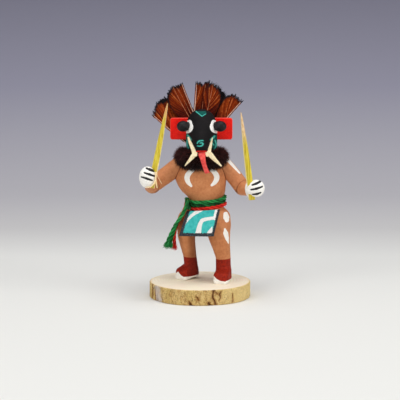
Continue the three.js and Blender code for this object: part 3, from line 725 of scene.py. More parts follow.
def f_boot(heel, toe, lift):
    h, t = np.array([*heel, 0.0]), np.array([*toe, 0.0])
    L = np.linalg.norm(t - h)
    d = (t - h) / L
    side = np.array([-d[1], d[0], 0])
    s = np.linspace(0, L, 60)
    u = s / L * 17.6
    hw = np.interp(u, BOOT[:, 0], BOOT[:, 1])
    top = np.interp(u, BOOT[:, 0], BOOT[:, 2])
    ker = np.hanning(11)[1:-1]
    ker /= ker.sum()
    hw, top = [np.convolve(np.pad(x, 4, mode="edge"), ker, "valid") for x in (hw, top)]

    def f(P):
        q = P - h
        a = q @ d
        w = np.abs(q @ side)
        up = lift * (1 - np.clip(a / L, 0, 1))
        lo = BASE_T - 0.05 + up
        hi = BASE_T + up * 0.6 + np.interp(a, s, top)
        half, mid = (hi - lo) / 2, (hi + lo) / 2
        r = 2.3
        dz = np.abs(P[..., 2] - mid) - (half - r)
        dw = w - (np.interp(a, s, hw) - r)
        da = np.maximum(r - a, a - (L - r))
        Q = np.stack([dz, dw, da], -1)
        dist = np.linalg.norm(np.maximum(Q, 0), axis=-1) + np.minimum(Q.max(-1), 0) - r
        # flat sole with a tight edge
        r2 = 0.7
        Q2 = np.stack([lo + r2 - P[..., 2], w - (np.interp(a, s, hw) - r2 - 0.15), np.maximum(r2 + 0.2 - a, a - (L - r2 - 0.2))], -1)
        sole = np.linalg.norm(np.maximum(Q2, 0), axis=-1) + np.minimum(Q2.max(-1), 0) - r2
        sole = np.maximum(sole, P[..., 2] - (lo + 2.2))
        return smin(dist, sole, 0.8)

    return f


t_f, lr_f, ll_f = f_levels(TRUNK), f_levels(LEG_R), f_levels(LEG_L)
br_f, bl_f = f_boot((-2.5, 13.1), (-12.6, 2.0), 1.3), f_boot((15.6, 6.0), (11.9, -12.0), 0.0)


def f_body(P):
    legs = smin(smin(lr_f(P), br_f(P), 1.4), smin(ll_f(P), bl_f(P), 1.4), 0.3)
    d = smin(t_f(P), legs, 1.6)
    # knife facets left in the carving
    return d + 0.10 * (fbm(P * np.array([1, 1, 0.55]), 5.5, 21, 2) - 0.5)


V, F, N = carve(f_body, (-16.5, -13.5, 9.0), (20, 16.5, 88.5), 0.46)
Q = front(V) * 0.6
px = lambda pts: [(p[0] * 0.6, p[1] * 0.6, (p[2] * 0.6 if len(p) > 2 else 0)) for p in pts]
faces_front = facing(N) > -0.05
marks = np.minimum.reduce([
    only(stroke(Q, curve2(px([(192.9, 169.4, 2.3), (188.9, 173.2, 2.6), (187.0, 177.2, 2.7), (187.9, 181.6, 2.3), (191.2, 185.9, 1.2)]))), (V[:, 2] > 64) & faces_front & (V[:, 1] < 0)),
    only(stroke(Q, curve2(px([(211.0, 169.4, 1.9), (215.2, 173.2, 2.5), (216.8, 177.0, 2.7), (215.6, 181.4, 2.3), (211.8, 185.2, 1.3)]))), (V[:, 2] > 64) & faces_front & (V[:, 1] < 0)),
    only(stroke(Q, px([(225.7, 214.0, 2.3), (226.3, 217.4, 3.1), (226.9, 220.2, 2.2)])), (V[:, 2] > 36) & (V[:, 2] < 56) & faces_front & (V[:, 0] > 5)),
    only(stroke(Q, px([(224.9, 229.0, 0.9), (225.7, 233.2, 2.5), (227.0, 238.0, 2.0), (228.6, 243.6, 0.4)])), (V[:, 2] > 26) & (V[:, 2] < 46) & faces_front & (V[:, 0] > 5)),
])
right_leg = V[:, 0] < 4
boot_d = np.where(right_leg, V[:, 2] - 23.3 + 0.06 * (V[:, 0] + 6), V[:, 2] - 23.1 - 0.05 * (V[:, 0] - 14))
low = V[:, 2] < 21
sole_r = poly(Q, [(p[0] * 0.6, p[1] * 0.6) for p in [(174, 270.5), (176.2, 273.0), (178.1, 271.6), (180.9, 275.2), (183.6, 277.0), (189.8, 276.5), (194.5, 275.6), (201.5, 273.2), (204, 285), (174, 285)]])
sole_l = poly(Q, [(p[0] * 0.6, p[1] * 0.6) for p in [(210.5, 272.5), (213.2, 275.2), (216.7, 279.1), (220.9, 281.2), (225.2, 281.6), (230.3, 279.3), (234.5, 277.6), (236, 288), (210.5, 288)]])
rim = V[:, 2] - (BASE_T + 1.7)
w_front = np.clip((facing(N) + 0.05) / 0.25, 0, 1)
sole = np.where(right_leg, sole_r, sole_l) * w_front + (rim - np.where(right_leg, 0.8 * np.clip((V[:, 0] + 12) / 12, 0, 1), 0)) * (1 - w_front)
sole = only(sole, low)
skin = lin(197, 128, 83)
body_mat = painted("skin_paint", skin, (lin(172, 102, 62), lin(213, 148, 101)), [
    ("boot", lin(164, 40, 16), {"tone": lin(122, 22, 9), "amp": 0.45, "raise": 0.5}),
    ("sole", lin(250, 248, 242), {"tone": lin(236, 230, 222), "amp": 0.25, "raise": 0.5}),
    ("marks", lin(248, 245, 238), {"tone": lin(240, 235, 226), "amp": 0.3, "raise": 1.0}),
    ("painted_joint_shade", lin(112, 58, 34), {"tone": lin(84, 40, 24), "amp": 0.3, "raise": -0.8, "soft": 0.35}),
], rough=0.66, spec=0.16, painted_shade="painted_shade")
ARM_LINES = {"right": [(-10.5, 0.6, 80.8, 5.3), (-15.5, 0.3, 77.0, 5.2), (-22.0, -0.3, 72.3, 5.0), (-28.3, -1.1, 67.8, 4.9)],
             "left": [(11.6, 0.6, 82.0, 5.2), (15.6, 0.3, 78.0, 5.0), (20.6, -0.3, 72.4, 4.8), (25.0, -1.0, 66.6, 4.75)]}
# painted shade: a dark crease line on the body where the upper arms meet it
painted_joint_shade = np.minimum(np.abs(f_tube(ARM_LINES["right"], 14)(V)), np.abs(f_tube(ARM_LINES["left"], 14)(V))) - 0.22
# painted shade on the inner, front-facing side of the right leg and boot, fading out towards the thigh and kept off the
# soles
painted_shade = np.clip((V[:, 0] + 9.2) / 4.4, 0, 1) * np.clip((43 - V[:, 2]) / 5, 0, 1) * np.clip((2.5 - V[:, 0]) / 2, 0, 1) * np.clip(0.7 - N[:, 1], 0, 1) * (sole > 0.1)
painted_shade = painted_shade * painted_shade * (3 - 2 * np.clip(painted_shade, 0, 1))
piece("figure_body", V, F, body_mat, "painted_wood", ["body"], {"boot": boot_d, "sole": sole, "marks": marks, "painted_joint_shade": painted_joint_shade, "painted_shade": np.clip(painted_shade, 0, 1)})

# ------------------------------------------------------------------ arms
ARMS = {
    "right": dict(
        upper=[(-10.5, 0.6, 80.8, 5.3), (-15.5, 0.3, 77.0, 5.2), (-22.0, -0.3, 72.3, 5.0), (-28.3, -1.1, 67.8, 4.9)],
        fore=[(-28.5, -1.2, 67.5, 4.85), (-29.2, -6.0, 69.6, 4.5), (-30.0, -11.5, 72.0, 3.8), (-30.4, -15.0, 73.6, 3.8)],
        fingers=((-30.9, -18.7, 74.7), (4.9, 4.6, 6.4)), palm=((-28.7, -15.8, 74.2), (2.5, 4.0, 5.6)),
        lines=[[(-31.5, 80.3), (-29.3, 79.5), (-27.0, 78.4)], [(-32.6, 77.8), (-29.6, 76.9), (-26.6, 75.6)], [(-34.3, 75.3), (-31.1, 74.5), (-28.0, 73.3)]],
        blade=((-18.93, -21.0, 118.3), (-28.8, -17.6, 68.3))),
    "left": dict(
        upper=[(11.6, 0.6, 82.0, 5.2), (15.6, 0.3, 78.0, 5.0), (20.6, -0.3, 72.4, 4.8), (25.0, -1.0, 66.6, 4.75)],
        fore=[(25.3, -1.2, 66.2, 4.7), (27.6, -5.5, 66.4, 4.4), (30.2, -10.5, 66.8, 3.8), (31.2, -13.5, 67.1, 3.7)],
        fingers=((33.2, -17.1, 67.9), (4.9, 4.6, 5.15)), palm=((29.2, -14.8, 67.3), (2.6, 4.1, 5.0)),
        lines=[[(30.6, 70.3), (33.2, 71.2), (36.0, 72.4)], [(29.9, 67.5), (33.2, 68.3), (36.5, 69.3)], [(30.9, 64.7), (33.3, 65.0), (35.6, 65.8)]],
        blade=((23.9, -21.0, 113.0), (30.55, -17.2, 61.0))),
}
LEAF = np.array([(0, 0.10, 0.25), (0.06, 0.3, 0.3), (0.2, 0.52, 0.45), (0.42, 0.8, 0.5), (0.7, 0.97, 0.55), (1, 1, 0.55)])


def leaf_line(a, n=90):
    tip, end = np.array(a["blade"][0]), np.array(a["blade"][1])
    s = np.linspace(0, 1, n)
    c = tip + (end - tip) * s[:, None]
    c[:, 1] += 0.9 * np.sin(math.pi * s)
    return s, c, np.interp(s, LEAF[:, 0], LEAF[:, 1]) * 2.0, np.interp(s, LEAF[:, 0], LEAF[:, 2])


for side, a in ARMS.items():
    up_f, fore_f = f_tube(a["upper"], 14), f_tube(a["fore"], 12)
    fin_f, palm_f = f_egg(*a["fingers"]), f_egg(*a["palm"])
    tip, end = np.array(a["blade"][0]), np.array(a["blade"][1])
    bx = end - tip

    def f_upper(P, up_f=up_f):
        return up_f(P) + 0.08 * (fbm(P, 4.5, 31, 2) - 0.5)

    def near_lines(P, a=a):
        Q2 = P[..., [0, 2]].reshape(-1, 2)
        d = np.minimum.reduce([stroke(Q2, [(x, z, 0.5) for x, z in l]) for l in a["lines"]])
        return d.reshape(P.shape[:-1])

    def f_fore(P, fore_f=fore_f, fin_f=fin_f, palm_f=palm_f, a=a, tip=tip, bx=bx):
        arm = smin(fore_f(P), palm_f(P), 1.6)
        crease = 0.22 * np.exp(-(np.clip(near_lines(P), 0, 9) / 0.35) ** 2) * (P[..., 1] < a["fingers"][0][1])
        d = smin(arm, fin_f(P) + crease, 0.35)
        t = np.clip(((P - tip) @ bx) / (bx @ bx), 0, 1)
        c = tip + t[..., None] * bx
        c[..., 1] += 0.9 * np.sin(math.pi * t)
        q = P - c
        slot = np.sqrt((q[..., 0] / 2.15) ** 2 + (q[..., 1] / 0.8) ** 2) - 1
        d = smax(d, -slot * 0.8, 0.15)
        return d + 0.08 * (fbm(P, 4.5, 33, 2) - 0.5)

    up = np.array([p[:3] for p in a["upper"]])
    lo, hi = up.min(0) - 6.2, up.max(0) + 6.2
    V, F, N = carve(f_upper, lo, hi, 0.42)
    if side == "left":
        stripe = stroke_d = np.full(len(V), 3.0)
        p0, p1 = np.array([15.2, -1.6, 84.0]), np.array([23.6, -2.6, 75.6])
        t = np.clip(((V - p0) @ (p1 - p0)) / ((p1 - p0) @ (p1 - p0)), 0, 1)
        stripe = np.linalg.norm(V - (p0 + t[:, None] * (p1 - p0)), axis=1) - (1.95 - 0.9 * t)
    else:
        stripe = np.full(len(V), 3.0)
    arm_mat = painted(side + "_arm_paint", skin, (lin(172, 102, 62), lin(213, 148, 101)), [
        ("stripe", WHITE, {"tone": lin(228, 222, 214), "amp": 0.3}),
        ("painted_joint_shade", lin(112, 58, 34), {"tone": lin(84, 40, 24), "amp": 0.3, "raise": -0.8, "soft": 0.35})], rough=0.6)
    # painted shade: a dark crease line where the upper arm meets the body and the forearm
    painted_joint_shade = np.minimum(np.abs(f_body(V)), np.abs(fore_f(V)) + 0.12) - 0.22
    piece(side + "_arm_upper", V, F, arm_mat, "painted_wood", [side + "_upper_arm"], {"stripe": stripe, "painted_joint_shade": painted_joint_shade})

    fo = np.array([p[:3] for p in a["fore"]] + [a["fingers"][0]])
    V, F, N = carve(f_fore, fo.min(0) - 6.8, fo.max(0) + 7.0, 0.38)
    white = np.minimum(fin_f(V), palm_f(V)) - 0.45
    black = only(np.minimum.reduce([stroke(V[:, [0, 2]], [(x, z, w) for (x, z), w in zip(l, (0.45, 0.72, 0.5))]) for l in a["lines"]]), (V[:, 1] < a["fingers"][0][1] + 0.5) & (fin_f(V) < 0.4))
    hand_mat = painted(side + "_hand_paint", skin, (lin(172, 102, 62), lin(213, 148, 101)), [
        ("white", lin(250, 248, 243), {"tone": lin(238, 234, 226), "amp": 0.35}),
        ("black", lin(14, 13, 14), {"tone": lin(26, 24, 24), "amp": 0.3, "size": 0.6}),
        ("painted_joint_shade", lin(112, 58, 34), {"tone": lin(84, 40, 24), "amp": 0.3, "raise": -0.8, "soft": 0.35})], rough=0.6)
    # painted shade: a dark crease line at the elbow, where the forearm meets the upper arm
    piece(side + "_arm_fore", V, F, hand_mat, "painted_wood", [side + "_forearm"], {"white": white, "black": black, "painted_joint_shade": np.abs(up_f(V)) - 0.12})

# ------------------------------------------------------------------ yucca leaves
for side, a in ARMS.items():
    s, c, w, t = leaf_line(a, 160)
    T, A, B = frames(c, up=(1, -0.25, 0))
    sides = 24
    ang = np.arange(sides) / sides * 2 * math.pi
    cx = np.sign(np.cos(ang)) * np.abs(np.cos(ang)) ** 0.8
    # a keeled strip: thick along the middle, thin at the margins, folded to a shallow V
    wav = 1 + 0.05 * (fbm(np.stack([s * 40, s * 0, s * 0], 1), 3.0, 5) - 0.5)
    V = []
    for i in range(len(c)):
        across = cx * w[i] * wav[i]
        thick = np.sin(ang) * t[i] * (1.0 - 0.55 * np.abs(cx) ** 1.5)
        fold = -0.32 * np.abs(cx) * w[i] * 0.5 + 0.03 * np.sin(cx * 9 + 2) * t[i]
        V.append(c[i] + across[:, None] * A[i] + (thick + fold + 0.12)[:, None] * B[i])
    V = np.concatenate(V)
    n = len(c)
    i = np.arange(n - 1)[:, None] * sides
    j = np.arange(sides)[None, :]
    F = np.stack([i + j, i + (j + 1) % sides, i + sides + (j + 1) % sides, i + sides + j], -1).reshape(-1, 4)
    V = np.concatenate([V, [c[0] - T[0] * 0.4, c[-1]]])
    j = np.arange(sides)
    caps = np.concatenate([np.stack([np.full(sides, n * sides), (j + 1) % sides, j], 1),
                           np.stack([np.full(sides, n * sides + 1), (n - 1) * sides + j, (n - 1) * sides + (j + 1) % sides], 1)])
    along = np.concatenate([np.repeat(s, sides), [0, 1]])
    across = np.concatenate([np.tile(cx, n), [0, 0]])
    g = G(side + "_leaf", 0.5, 0.4)
    al, ac = g.attr("along"), g.attr("across")
    line = g.noise(0.32, 3.0, 0.6, g.obj((1, 1, 0.05)))
    lines2 = g.noise(0.8, 2.0, 0.5, g.obj((1, 1, 0.04)))
    body_c = g.ramp(g.math("MULTIPLY_ADD", line, 0.5, g.math("MULTIPLY", lines2, 0.5)), [(0.32, lin(164, 140, 20)), (0.48, lin(206, 182, 34)), (0.64, lin(232, 214, 78))])
    tip_c = g.ramp(line, [(0.35, lin(206, 142, 74) if side == "right" else lin(206, 152, 96)), (0.65, lin(246, 200, 134) if side == "right" else lin(250, 222, 176))])
    col = g.mix(g.span(g.math("MULTIPLY_ADD", line, 0.12, al), *((0.14, 0.30) if side == "right" else (0.24, 0.46))), tip_c, body_c)
    pale = lin(238, 222, 164)
    if side == "left":
        margin = g.span(g.math("MULTIPLY_ADD", line, 0.2, ac), -0.42, -0.66)
    else:
        margin = g.math("MAXIMUM", g.span(g.math("MULTIPLY_ADD", line, 0.2, ac), 0.86, 1.0), g.span(ac, -0.86, -0.98))
    col = g.mix(g.math("MULTIPLY", margin, 0.85), col, pale)
    # painted shade: a darker yellow stripe down the middle of the folded strip, in its groove
    painted_groove_shade = g.span(g.math("ABSOLUTE", g.math("SUBTRACT", ac, 0.12)), 0.0, 0.16, 1.0, 0.0)
    col = g.mix(g.math("MULTIPLY", painted_groove_shade, 0.3), col, lin(150, 126, 20))
    if np.mean(np.cross(V[F[:, 1]] - V[F[:, 0]], V[F[:, 2]] - V[F[:, 0]]) * (V[F].mean(1) - np.repeat(c[:-1], sides, 0)), axis=None) < 0:
        F, caps = F[:, ::-1], caps[:, ::-1]
    piece(side + "_leaf_strip", V, [F, caps], g.done(col, g.span(line, 0.3, 0.7, 0.42, 0.6), g.bump(g.math("ADD", line, lines2), 0.5, 0.1)),
          "leaf", [side + "_yucca_blade"], {"along": along, "across": across})
# loose fibres that have peeled off the strips by the fists
fib = Pile()
for pts, r0 in (([(-24.0, -20.7, 83.5), (-25.2, -20.9, 79.0), (-25.0, -21.1, 76.1), (-23.7, -21.2, 73.4), (-22.4, -20.8, 71.1)], 0.28),
            ([(-25.7, -20.5, 78.0), (-26.0, -21.4, 75.5), (-25.7, -21.8, 72.0), (-25.1, -21.4, 68.8)], 0.72),
            ([(-25.8, -20.9, 77.0), (-26.2, -21.9, 73.4), (-27.4, -22.5, 70.9), (-29.4, -22.2, 69.3), (-31.8, -21.0, 69.4)], 0.5)):
    cc = catmull(np.column_stack([pts, np.zeros(len(pts))]), 16)[:, :3]
    T, A, B = frames(cc)
    r = np.linspace(r0, r0 * 0.7, 16)
    V, F = skin_tube(cc, A, B, r, r * 0.6, 6)
    fib.add(V, F)
g = G("fibre", 0.5, 0.4)
fib.make("leaf_fibres", g.done(g.ramp(g.noise(0.6), [(0.3, lin(234, 198, 140)), (0.7, lin(250, 228, 186))]), 0.5), slot="leaf")

# ------------------------------------------------------------------ the head
HX, HY = 0.95, 0.5
HELMET = [(88.0, HX, HY, 8.0, 7.8), (90.0, HX, HY, 9.1, 8.9), (95.5, HX, HY, 9.4, 9.3), (100.5, HX, HY, 9.25, 9.1), (104.5, HX, HY, 8.9, 8.8),
          (108.0, HX, HY, 8.0, 8.0), (110.6, HX, HY, 6.3, 6.4), (112.2, HX, HY, 4.0, 4.1), (113.0, HX, HY, 1.6, 1.7)]
MUZZLE = np.array([(-1.5, 101.4, 7.4, 7.4), (-7.5, 99.2, 6.7, 6.6), (-12.0, 96.0, 5.3, 5.3), (-15.6, 92.9, 4.2, 4.3), (-18.2, 90.4, 3.5, 3.5)])
helm_f = f_levels(HELMET, 0.6)
m_c = catmull(np.column_stack([np.full(5, HX), MUZZLE]), 16)


def f_muzzle(P):
    out = np.full(P.shape[:-1], 1e9)
    for i in range(len(m_c) - 1):
        a, b = m_c[i], m_c[i + 1]
        ab = b[:3] - a[:3]
        t = (P - a[:3]) @ ab / (ab @ ab)
        tc = np.clip(t, 0, 1)
        q = P - (a[:3] + tc[..., None] * ab)
        w, h = a[3] + tc * (b[3] - a[3]), a[4] + tc * (b[4] - a[4])
        k = np.sqrt((q[..., 0] / w) ** 2 + ((q[..., 1] ** 2 + q[..., 2] ** 2) / h**2)) + 1e-9
        out = np.minimum(out, (k - 1) * np.minimum(w, h))
    # sawn end of the snout
    n = np.array([0, -0.86, -0.5])
    return smax(out, (P - np.array([HX, -19.4, 90.0])) @ n, 0.7)


mouth_axes = np.array([[1, 0, 0], [0, 0.94, 0.34], [0, -0.34, 0.94]])
mouth_f = f_box((HX, -19.2, 88.5), (2.55, 3.6, 0.85), 0.45, mouth_axes)


def f_head(P):
    d = smin(helm_f(P), f_muzzle(P), 2.4)
    # brow hollows beside the bridge of the nose
    d = d + 0.35 * np.exp(-(((P[..., 0] - HX) / 2.2) ** 2 + ((P[..., 2] - 104.6) / 2.4) ** 2)) * (P[..., 1] < 0)
    d = smax(d, -mouth_f(P), 0.25)
    return d + 0.07 * (fbm(P, 4.0, 41, 2) - 0.5)


V, F, N = carve(f_head, (-9.5, -21, 87.0), (11.4, 10.6, 114), 0.33)
Q = front(V) * 0.6
ff = facing(N) > -0.05
hd = (V[:, 2] > 88) & ff
EYE_AZ = 63.0
ring_l = np.linalg.norm(V - np.array([HX - 8.9 * math.sin(math.radians(58)), HY - 8.9 * math.cos(math.radians(58)), 103.5]), axis=1) - 4.05
ring_r = np.linalg.norm(V - np.array([HX + 8.9 * math.sin(math.radians(58)), HY - 8.9 * math.cos(math.radians(58)), 103.5]), axis=1) - 4.05
ring_f = np.minimum(np.linalg.norm(Q - np.array([186.6, 126.9]) * 0.6, axis=1), np.linalg.norm(Q - np.array([216.4, 126.8]) * 0.6, axis=1)) - 3.9
rings = np.minimum(np.minimum(ring_l, ring_r) + 0.35, only(ring_f, ff & (V[:, 2] > 96) & (V[:, 1] < 2)))
chev_fill = only(poly(Q, [(p[0] * 0.6, p[1] * 0.6) for p in [(196.4, 111.2), (205.9, 111.2), (206.6, 114.0), (201.8, 117.2)]]), (V[:, 2] > 107) & (V[:, 1] < 1.5))
chev_line = only(stroke(Q, px([(196.0, 111.4, 0.45), (201.9, 116.2, 0.42), (206.0, 113.8, 0.26)])), (V[:, 2] > 107) & (V[:, 1] < 1.5))
swirl = np.minimum(stroke(Q, curve2(px([(197.3, 143.4, 0.42), (198.0, 141.9, 0.5), (200.2, 140.8, 0.5), (203.2, 140.7, 0.3)]))),
                   stroke(Q, curve2(px([(199.9, 143.2, 0.3), (201.9, 142.9, 0.5), (203.1, 144.0, 0.55), (202.0, 145.5, 0.5), (199.7, 146.2, 0.42), (197.4, 145.9, 0.3)]))))
swirl = only(swirl, (V[:, 1] < -9) & ff)
cheek = np.minimum.reduce([
    stroke(Q, px([(187.5, 135.2, 0.8), (189.1, 137.4, 1.0), (190.9, 139.8, 0.8)])),
    stroke(Q, curve2(px([(187.4, 140.2, 0.7), (186.9, 144.0, 0.75), (188.4, 148.2, 0.5)]), 8)),
    stroke(Q, px([(189.2, 141.6, 0.6), (190.2, 143.6, 0.5)])),
    stroke(Q, px([(214.7, 136.2, 0.8), (213.0, 137.9, 1.0), (210.9, 139.8, 0.8)])),
    stroke(Q, curve2(px([(215.0, 140.3, 0.6), (216.2, 144.6, 0.75), (213.8, 150.0, 0.5)]), 10)),
    stroke(Q, px([(212.4, 143.4, 0.5), (213.9, 145.0, 0.6)])),
])
cheek = only(cheek, (V[:, 2] < 101) & (V[:, 2] > 88) & ff)
light = np.minimum.reduce([chev_line, swirl, cheek])
cheek_bed = only(np.minimum(poly(Q, [(p[0] * 0.6, p[1] * 0.6) for p in [(185.8, 133.6), (188.2, 134.4), (191.3, 139.6), (190.6, 147.0), (188.4, 151), (185.5, 150)]]),
                              poly(Q, [(p[0] * 0.6, p[1] * 0.6) for p in [(216.9, 134.6), (214.4, 135.4), (211.4, 139.6), (212.0, 146.0), (213.8, 151.5), (217.5, 150)]])), (V[:, 2] < 102) & (V[:, 2] > 88) & ff)
dark = np.minimum.reduce([chev_fill, chev_line - 0.15, swirl - 0.35, cheek - 0.35, cheek_bed])
lip = np.maximum(np.maximum(mouth_f(V) - 1.25, V[:, 1] + 16.8), V[:, 2] - 91.9)
inner = np.where(mouth_f(V) < 0.18, -0.3, 0.6)
TEAL, TEALD = lin(82, 190, 172), lin(12, 88, 78)
head_mat = painted("mask_paint", lin(21, 19, 20), (lin(14, 13, 14), lin(33, 30, 31)), [
    ("dark", TEALD, {"tone": lin(10, 70, 66), "amp": 0.25, "size": 0.5, "soft": 0.1}),
    ("light", TEAL, {"tone": lin(60, 160, 148), "amp": 0.3, "size": 0.5}),
    ("ring", lin(252, 251, 247), {"tone": lin(242, 240, 234), "amp": 0.15, "raise": 1.0}),
    ("lip", lin(206, 40, 34), {"tone": lin(170, 22, 20), "amp": 0.2, "raise": 1.0}),
    ("inner", lin(112, 10, 10), {"tone": lin(70, 6, 6), "amp": 0.1}),
], rough=0.78, grain=0.4, spec=0.12)
piece("mask_head", V, F, head_mat, "black_wood", ["head"], {"dark": dark, "light": light, "ring": rings, "lip": lip, "inner": inner})

# ------------------------------------------------------------------ ears and eyes
for side, sgn in (("right", -1), ("left", 1)):
    outer = -17.8 if sgn < 0 else 19.4
    inner_x = HX + sgn * 6.2
    cx, w = (outer + inner_x) / 2, abs(outer - inner_x)
    taper = 0.012 * sgn

    def f_ear(P, cx=cx, w=w):
        Q3 = P - np.array([cx, 2.1, 101.3])
        q = np.stack([np.abs(Q3[..., 0] + 0.03 * Q3[..., 2] * 0) - (w / 2 - 1.5), np.abs(Q3[..., 2]) - (6.5 - 1.5)], -1)
        flat = np.linalg.norm(np.maximum(q, 0), axis=-1) + np.minimum(q.max(-1), 0) - 1.5
        th = np.abs(Q3[..., 1]) - 1.2
        q2 = np.stack([flat, th], -1) + 0.45
        d = np.linalg.norm(np.maximum(q2, 0), axis=-1) + np.minimum(q2.max(-1), 0) - 0.45
        return d + 0.06 * (fbm(P, 3.0, 51, 2) - 0.5)

    V, F, N = carve(f_ear, (cx - w / 2 - 0.6, 0.2, 94.2), (cx + w / 2 + 0.6, 4.0, 108.4), 0.27)
    Q3 = V - np.array([cx, 2.1, 101.3])
    q = np.stack([np.abs(Q3[:, 0]) - (w / 2 - 1.5), np.abs(Q3[:, 2]) - 5.0], -1)
    edge = -(np.linalg.norm(np.maximum(q, 0), axis=-1) + np.minimum(q.max(-1), 0) - 1.5)
    g = G(side + "_ear_paint", 0.5, 0.22)
    n1, n2 = g.noise(3.0, 3.0), g.noise(0.7, 4.0, 0.6)
    col = g.ramp(g.math("MULTIPLY_ADD", n2, 0.5, g.math("MULTIPLY", n1, 0.5)), [(0.34, lin(218, 16, 6)), (0.52, lin(240, 22, 9)), (0.7, lin(246, 34, 16))])
    # painted highlight: a lighter pink along the rounded rims of the tablet
    painted_rim_highlight = g.span(g.math("MULTIPLY_ADD", n2, -0.6, g.attr("edge")), 0.12, -0.32)
    col = g.mix(g.math("MULTIPLY", painted_rim_highlight, 0.75), col, lin(240, 92, 76))
    piece(side + "_ear_tablet", V, F, g.done(col, g.span(n2, 0.3, 0.7, 0.42, 0.56), g.bump(g.math("ADD", n1, n2), 0.35, 0.1)), "red_wood", [side + "_ear"], {"edge": edge})

    az = math.radians(EYE_AZ)
    d = np.array([sgn * math.sin(az), -math.cos(az), 0.0])
    base = np.array([HX, HY, 103.4]) + d * 8.3
    prof_s = np.linspace(0, 1, 40)
    out = 7.9
    k = np.where(prof_s < 0.5, 0.66 + 0.34 * np.sin(np.clip(prof_s / 0.5, 0, 1) * math.pi / 2), np.sqrt(np.clip(1 - np.clip((prof_s - 0.5) / 0.5, 0, 1) ** 2.2, 0, 1)))
    c = base + (prof_s * out)[:, None] * d
    up = np.array([0, 0, 1.0])
    A = np.tile(np.cross(up, d), (40, 1))
    B = np.tile(up, (40, 1))
    r = 3.2 * np.maximum(k, 0.02)
    V, F = skin_tube(c, A, B, r, r, 40)
    V = V + 0.10 * (fbm(V, 2.4, 61, 2) - 0.5)[:, None] * d
    g = G(side + "_eye_paint", 0.6, 0.2)
    n1, n2 = g.noise(1.8, 3.0), g.noise(0.5, 4.0, 0.65)
    col = g.ramp(g.math("MULTIPLY_ADD", n2, 0.5, g.math("MULTIPLY", n1, 0.5)), [(0.3, lin(16, 15, 17)), (0.55, lin(27, 25, 27)), (0.75, lin(54, 50, 52))])
    o = piece(side + "_eye_peg", V, F, g.done(col, g.span(n2, 0.3, 0.7, 0.4, 0.56), g.bump(n2, 0.4, 0.1)), "black_wood", [side + "_eye"])

# ------------------------------------------------------------------ forked slivers at the mouth
def sliver(points, thick, seed, side_dir, sides=16, n=48):
    """A split wood sliver through (x, y, z, half-width)."""
    c = catmull(points, n)
    T = np.gradient(c[:, :3], axis=0)
    T /= np.linalg.norm(T, axis=1)[:, None]
    S = np.asarray(side_dir, float)
    A = S - (T @ S)[:, None] * T
    A /= np.linalg.norm(A, axis=1)[:, None]
    B = np.cross(T, A)
    w = c[:, 3] * (1 + 0.10 * (fbm(c[:, :3], 1.6, seed, 2) - 0.5))
    V, F = skin_tube(c[:, :3], A, B, w, np.minimum(thick, w * 0.8 + 0.1), sides, power=3.0)
    return V, F


TUSKS = {
    "right": ([(-6.9, -9.2, 97.2, 0.55), (-5.7, -12.2, 94.2, 0.95), (-4.1, -16.0, 91.0, 1.2), (-2.9, -18.9, 88.6, 1.45), (-2.2, -19.6, 87.2, 0.5)],
              [(-2.5, -18.9, 89.3, 0.9), (-3.9, -19.2, 87.6, 1.35), (-5.8, -19.2, 85.1, 0.95), (-7.4, -19.0, 83.2, 0.62), (-8.9, -18.7, 81.4, 0.22)]),
    "left": ([(6.9, -9.2, 97.0, 0.6), (6.3, -12.2, 94.2, 0.95), (5.4, -16.0, 91.3, 1.3), (4.6, -18.9, 88.9, 1.6), (4.1, -19.6, 87.0, 0.6)],
             [(4.3, -18.9, 90.0, 1.1), (6.0, -19.2, 88.2, 1.5), (8.4, -19.2, 85.5, 1.15), (10.6, -19.0, 83.3, 0.8), (12.6, -18.7, 81.2, 0.38)]),
}
for side, (up_arm, low_arm) in TUSKS.items():
    pile = Pile()
    for i, arm in enumerate((up_arm, low_arm)):
        dx = arm[-1][0] - arm[0][0]
        V, F = sliver(arm, 0.62, 71 + i, (arm[0][2] - arm[-1][2], 0, dx) if True else None)
        pile.add(V, F)
    g = G(side + "_sliver", 0.55, 0.35)
    grain = g.noise(0.28, 3.0, 0.6, g.obj((1.0, 0.5, 0.22)))
    n2 = g.noise(2.0, 2.0)
    col = g.ramp(g.math("MULTIPLY_ADD", grain, 0.6, g.math("MULTIPLY", n2, 0.4)), [(0.32, lin(214, 184, 136)), (0.5, lin(240, 222, 180)), (0.68, lin(250, 240, 212))])
    pile.make(side + "_tusk_fork", g.done(col, 0.55, g.bump(grain, 0.5, 0.1)), slot="bare_wood", replaces=[side + "_tusks"])

# ------------------------------------------------------------------ the tongue
tp = catmull([(1.0, -18.4, 89.3, 2.0), (1.25, -20.0, 87.9, 2.05), (1.6, -20.9, 86.2, 1.65), (2.0, -21.2, 84.2, 1.4), (2.7, -20.9, 81.6, 1.32), (3.5, -20.0, 79.2, 1.35), (4.3, -19.0, 77.3, 1.5)], 60)
T, A, B = frames(tp[:, :3], up=(1, 0, 0.2))
w = tp[:, 3] * (1 + 0.08 * (fbm(tp[:, :3], 1.8, 81, 2) - 0.5))
tw = np.radians(np.linspace(0, 16, 60))
A2 = A * np.cos(tw)[:, None] + B * np.sin(tw)[:, None]
B2 = B * np.cos(tw)[:, None] - A * np.sin(tw)[:, None]
V, F = skin_tube(tp[:, :3], A2, B2, w, 0.42, 24, power=3.2)
V = V + 0.08 * (fbm(V, 0.9, 82, 2) - 0.5)[:, None] * np.array([0.2, -1, 0.2])
g = G("tongue_hide", 0.6, 0.35)
n1, n2 = g.noise(1.6, 3.0), g.noise(0.35, 3.0, 0.6)
col = g.ramp(g.math("MULTIPLY_ADD", n2, 0.4, g.math("MULTIPLY", n1, 0.6)), [(0.32, lin(196, 44, 42)), (0.5, lin(228, 74, 68)), (0.7, lin(240, 108, 98))])
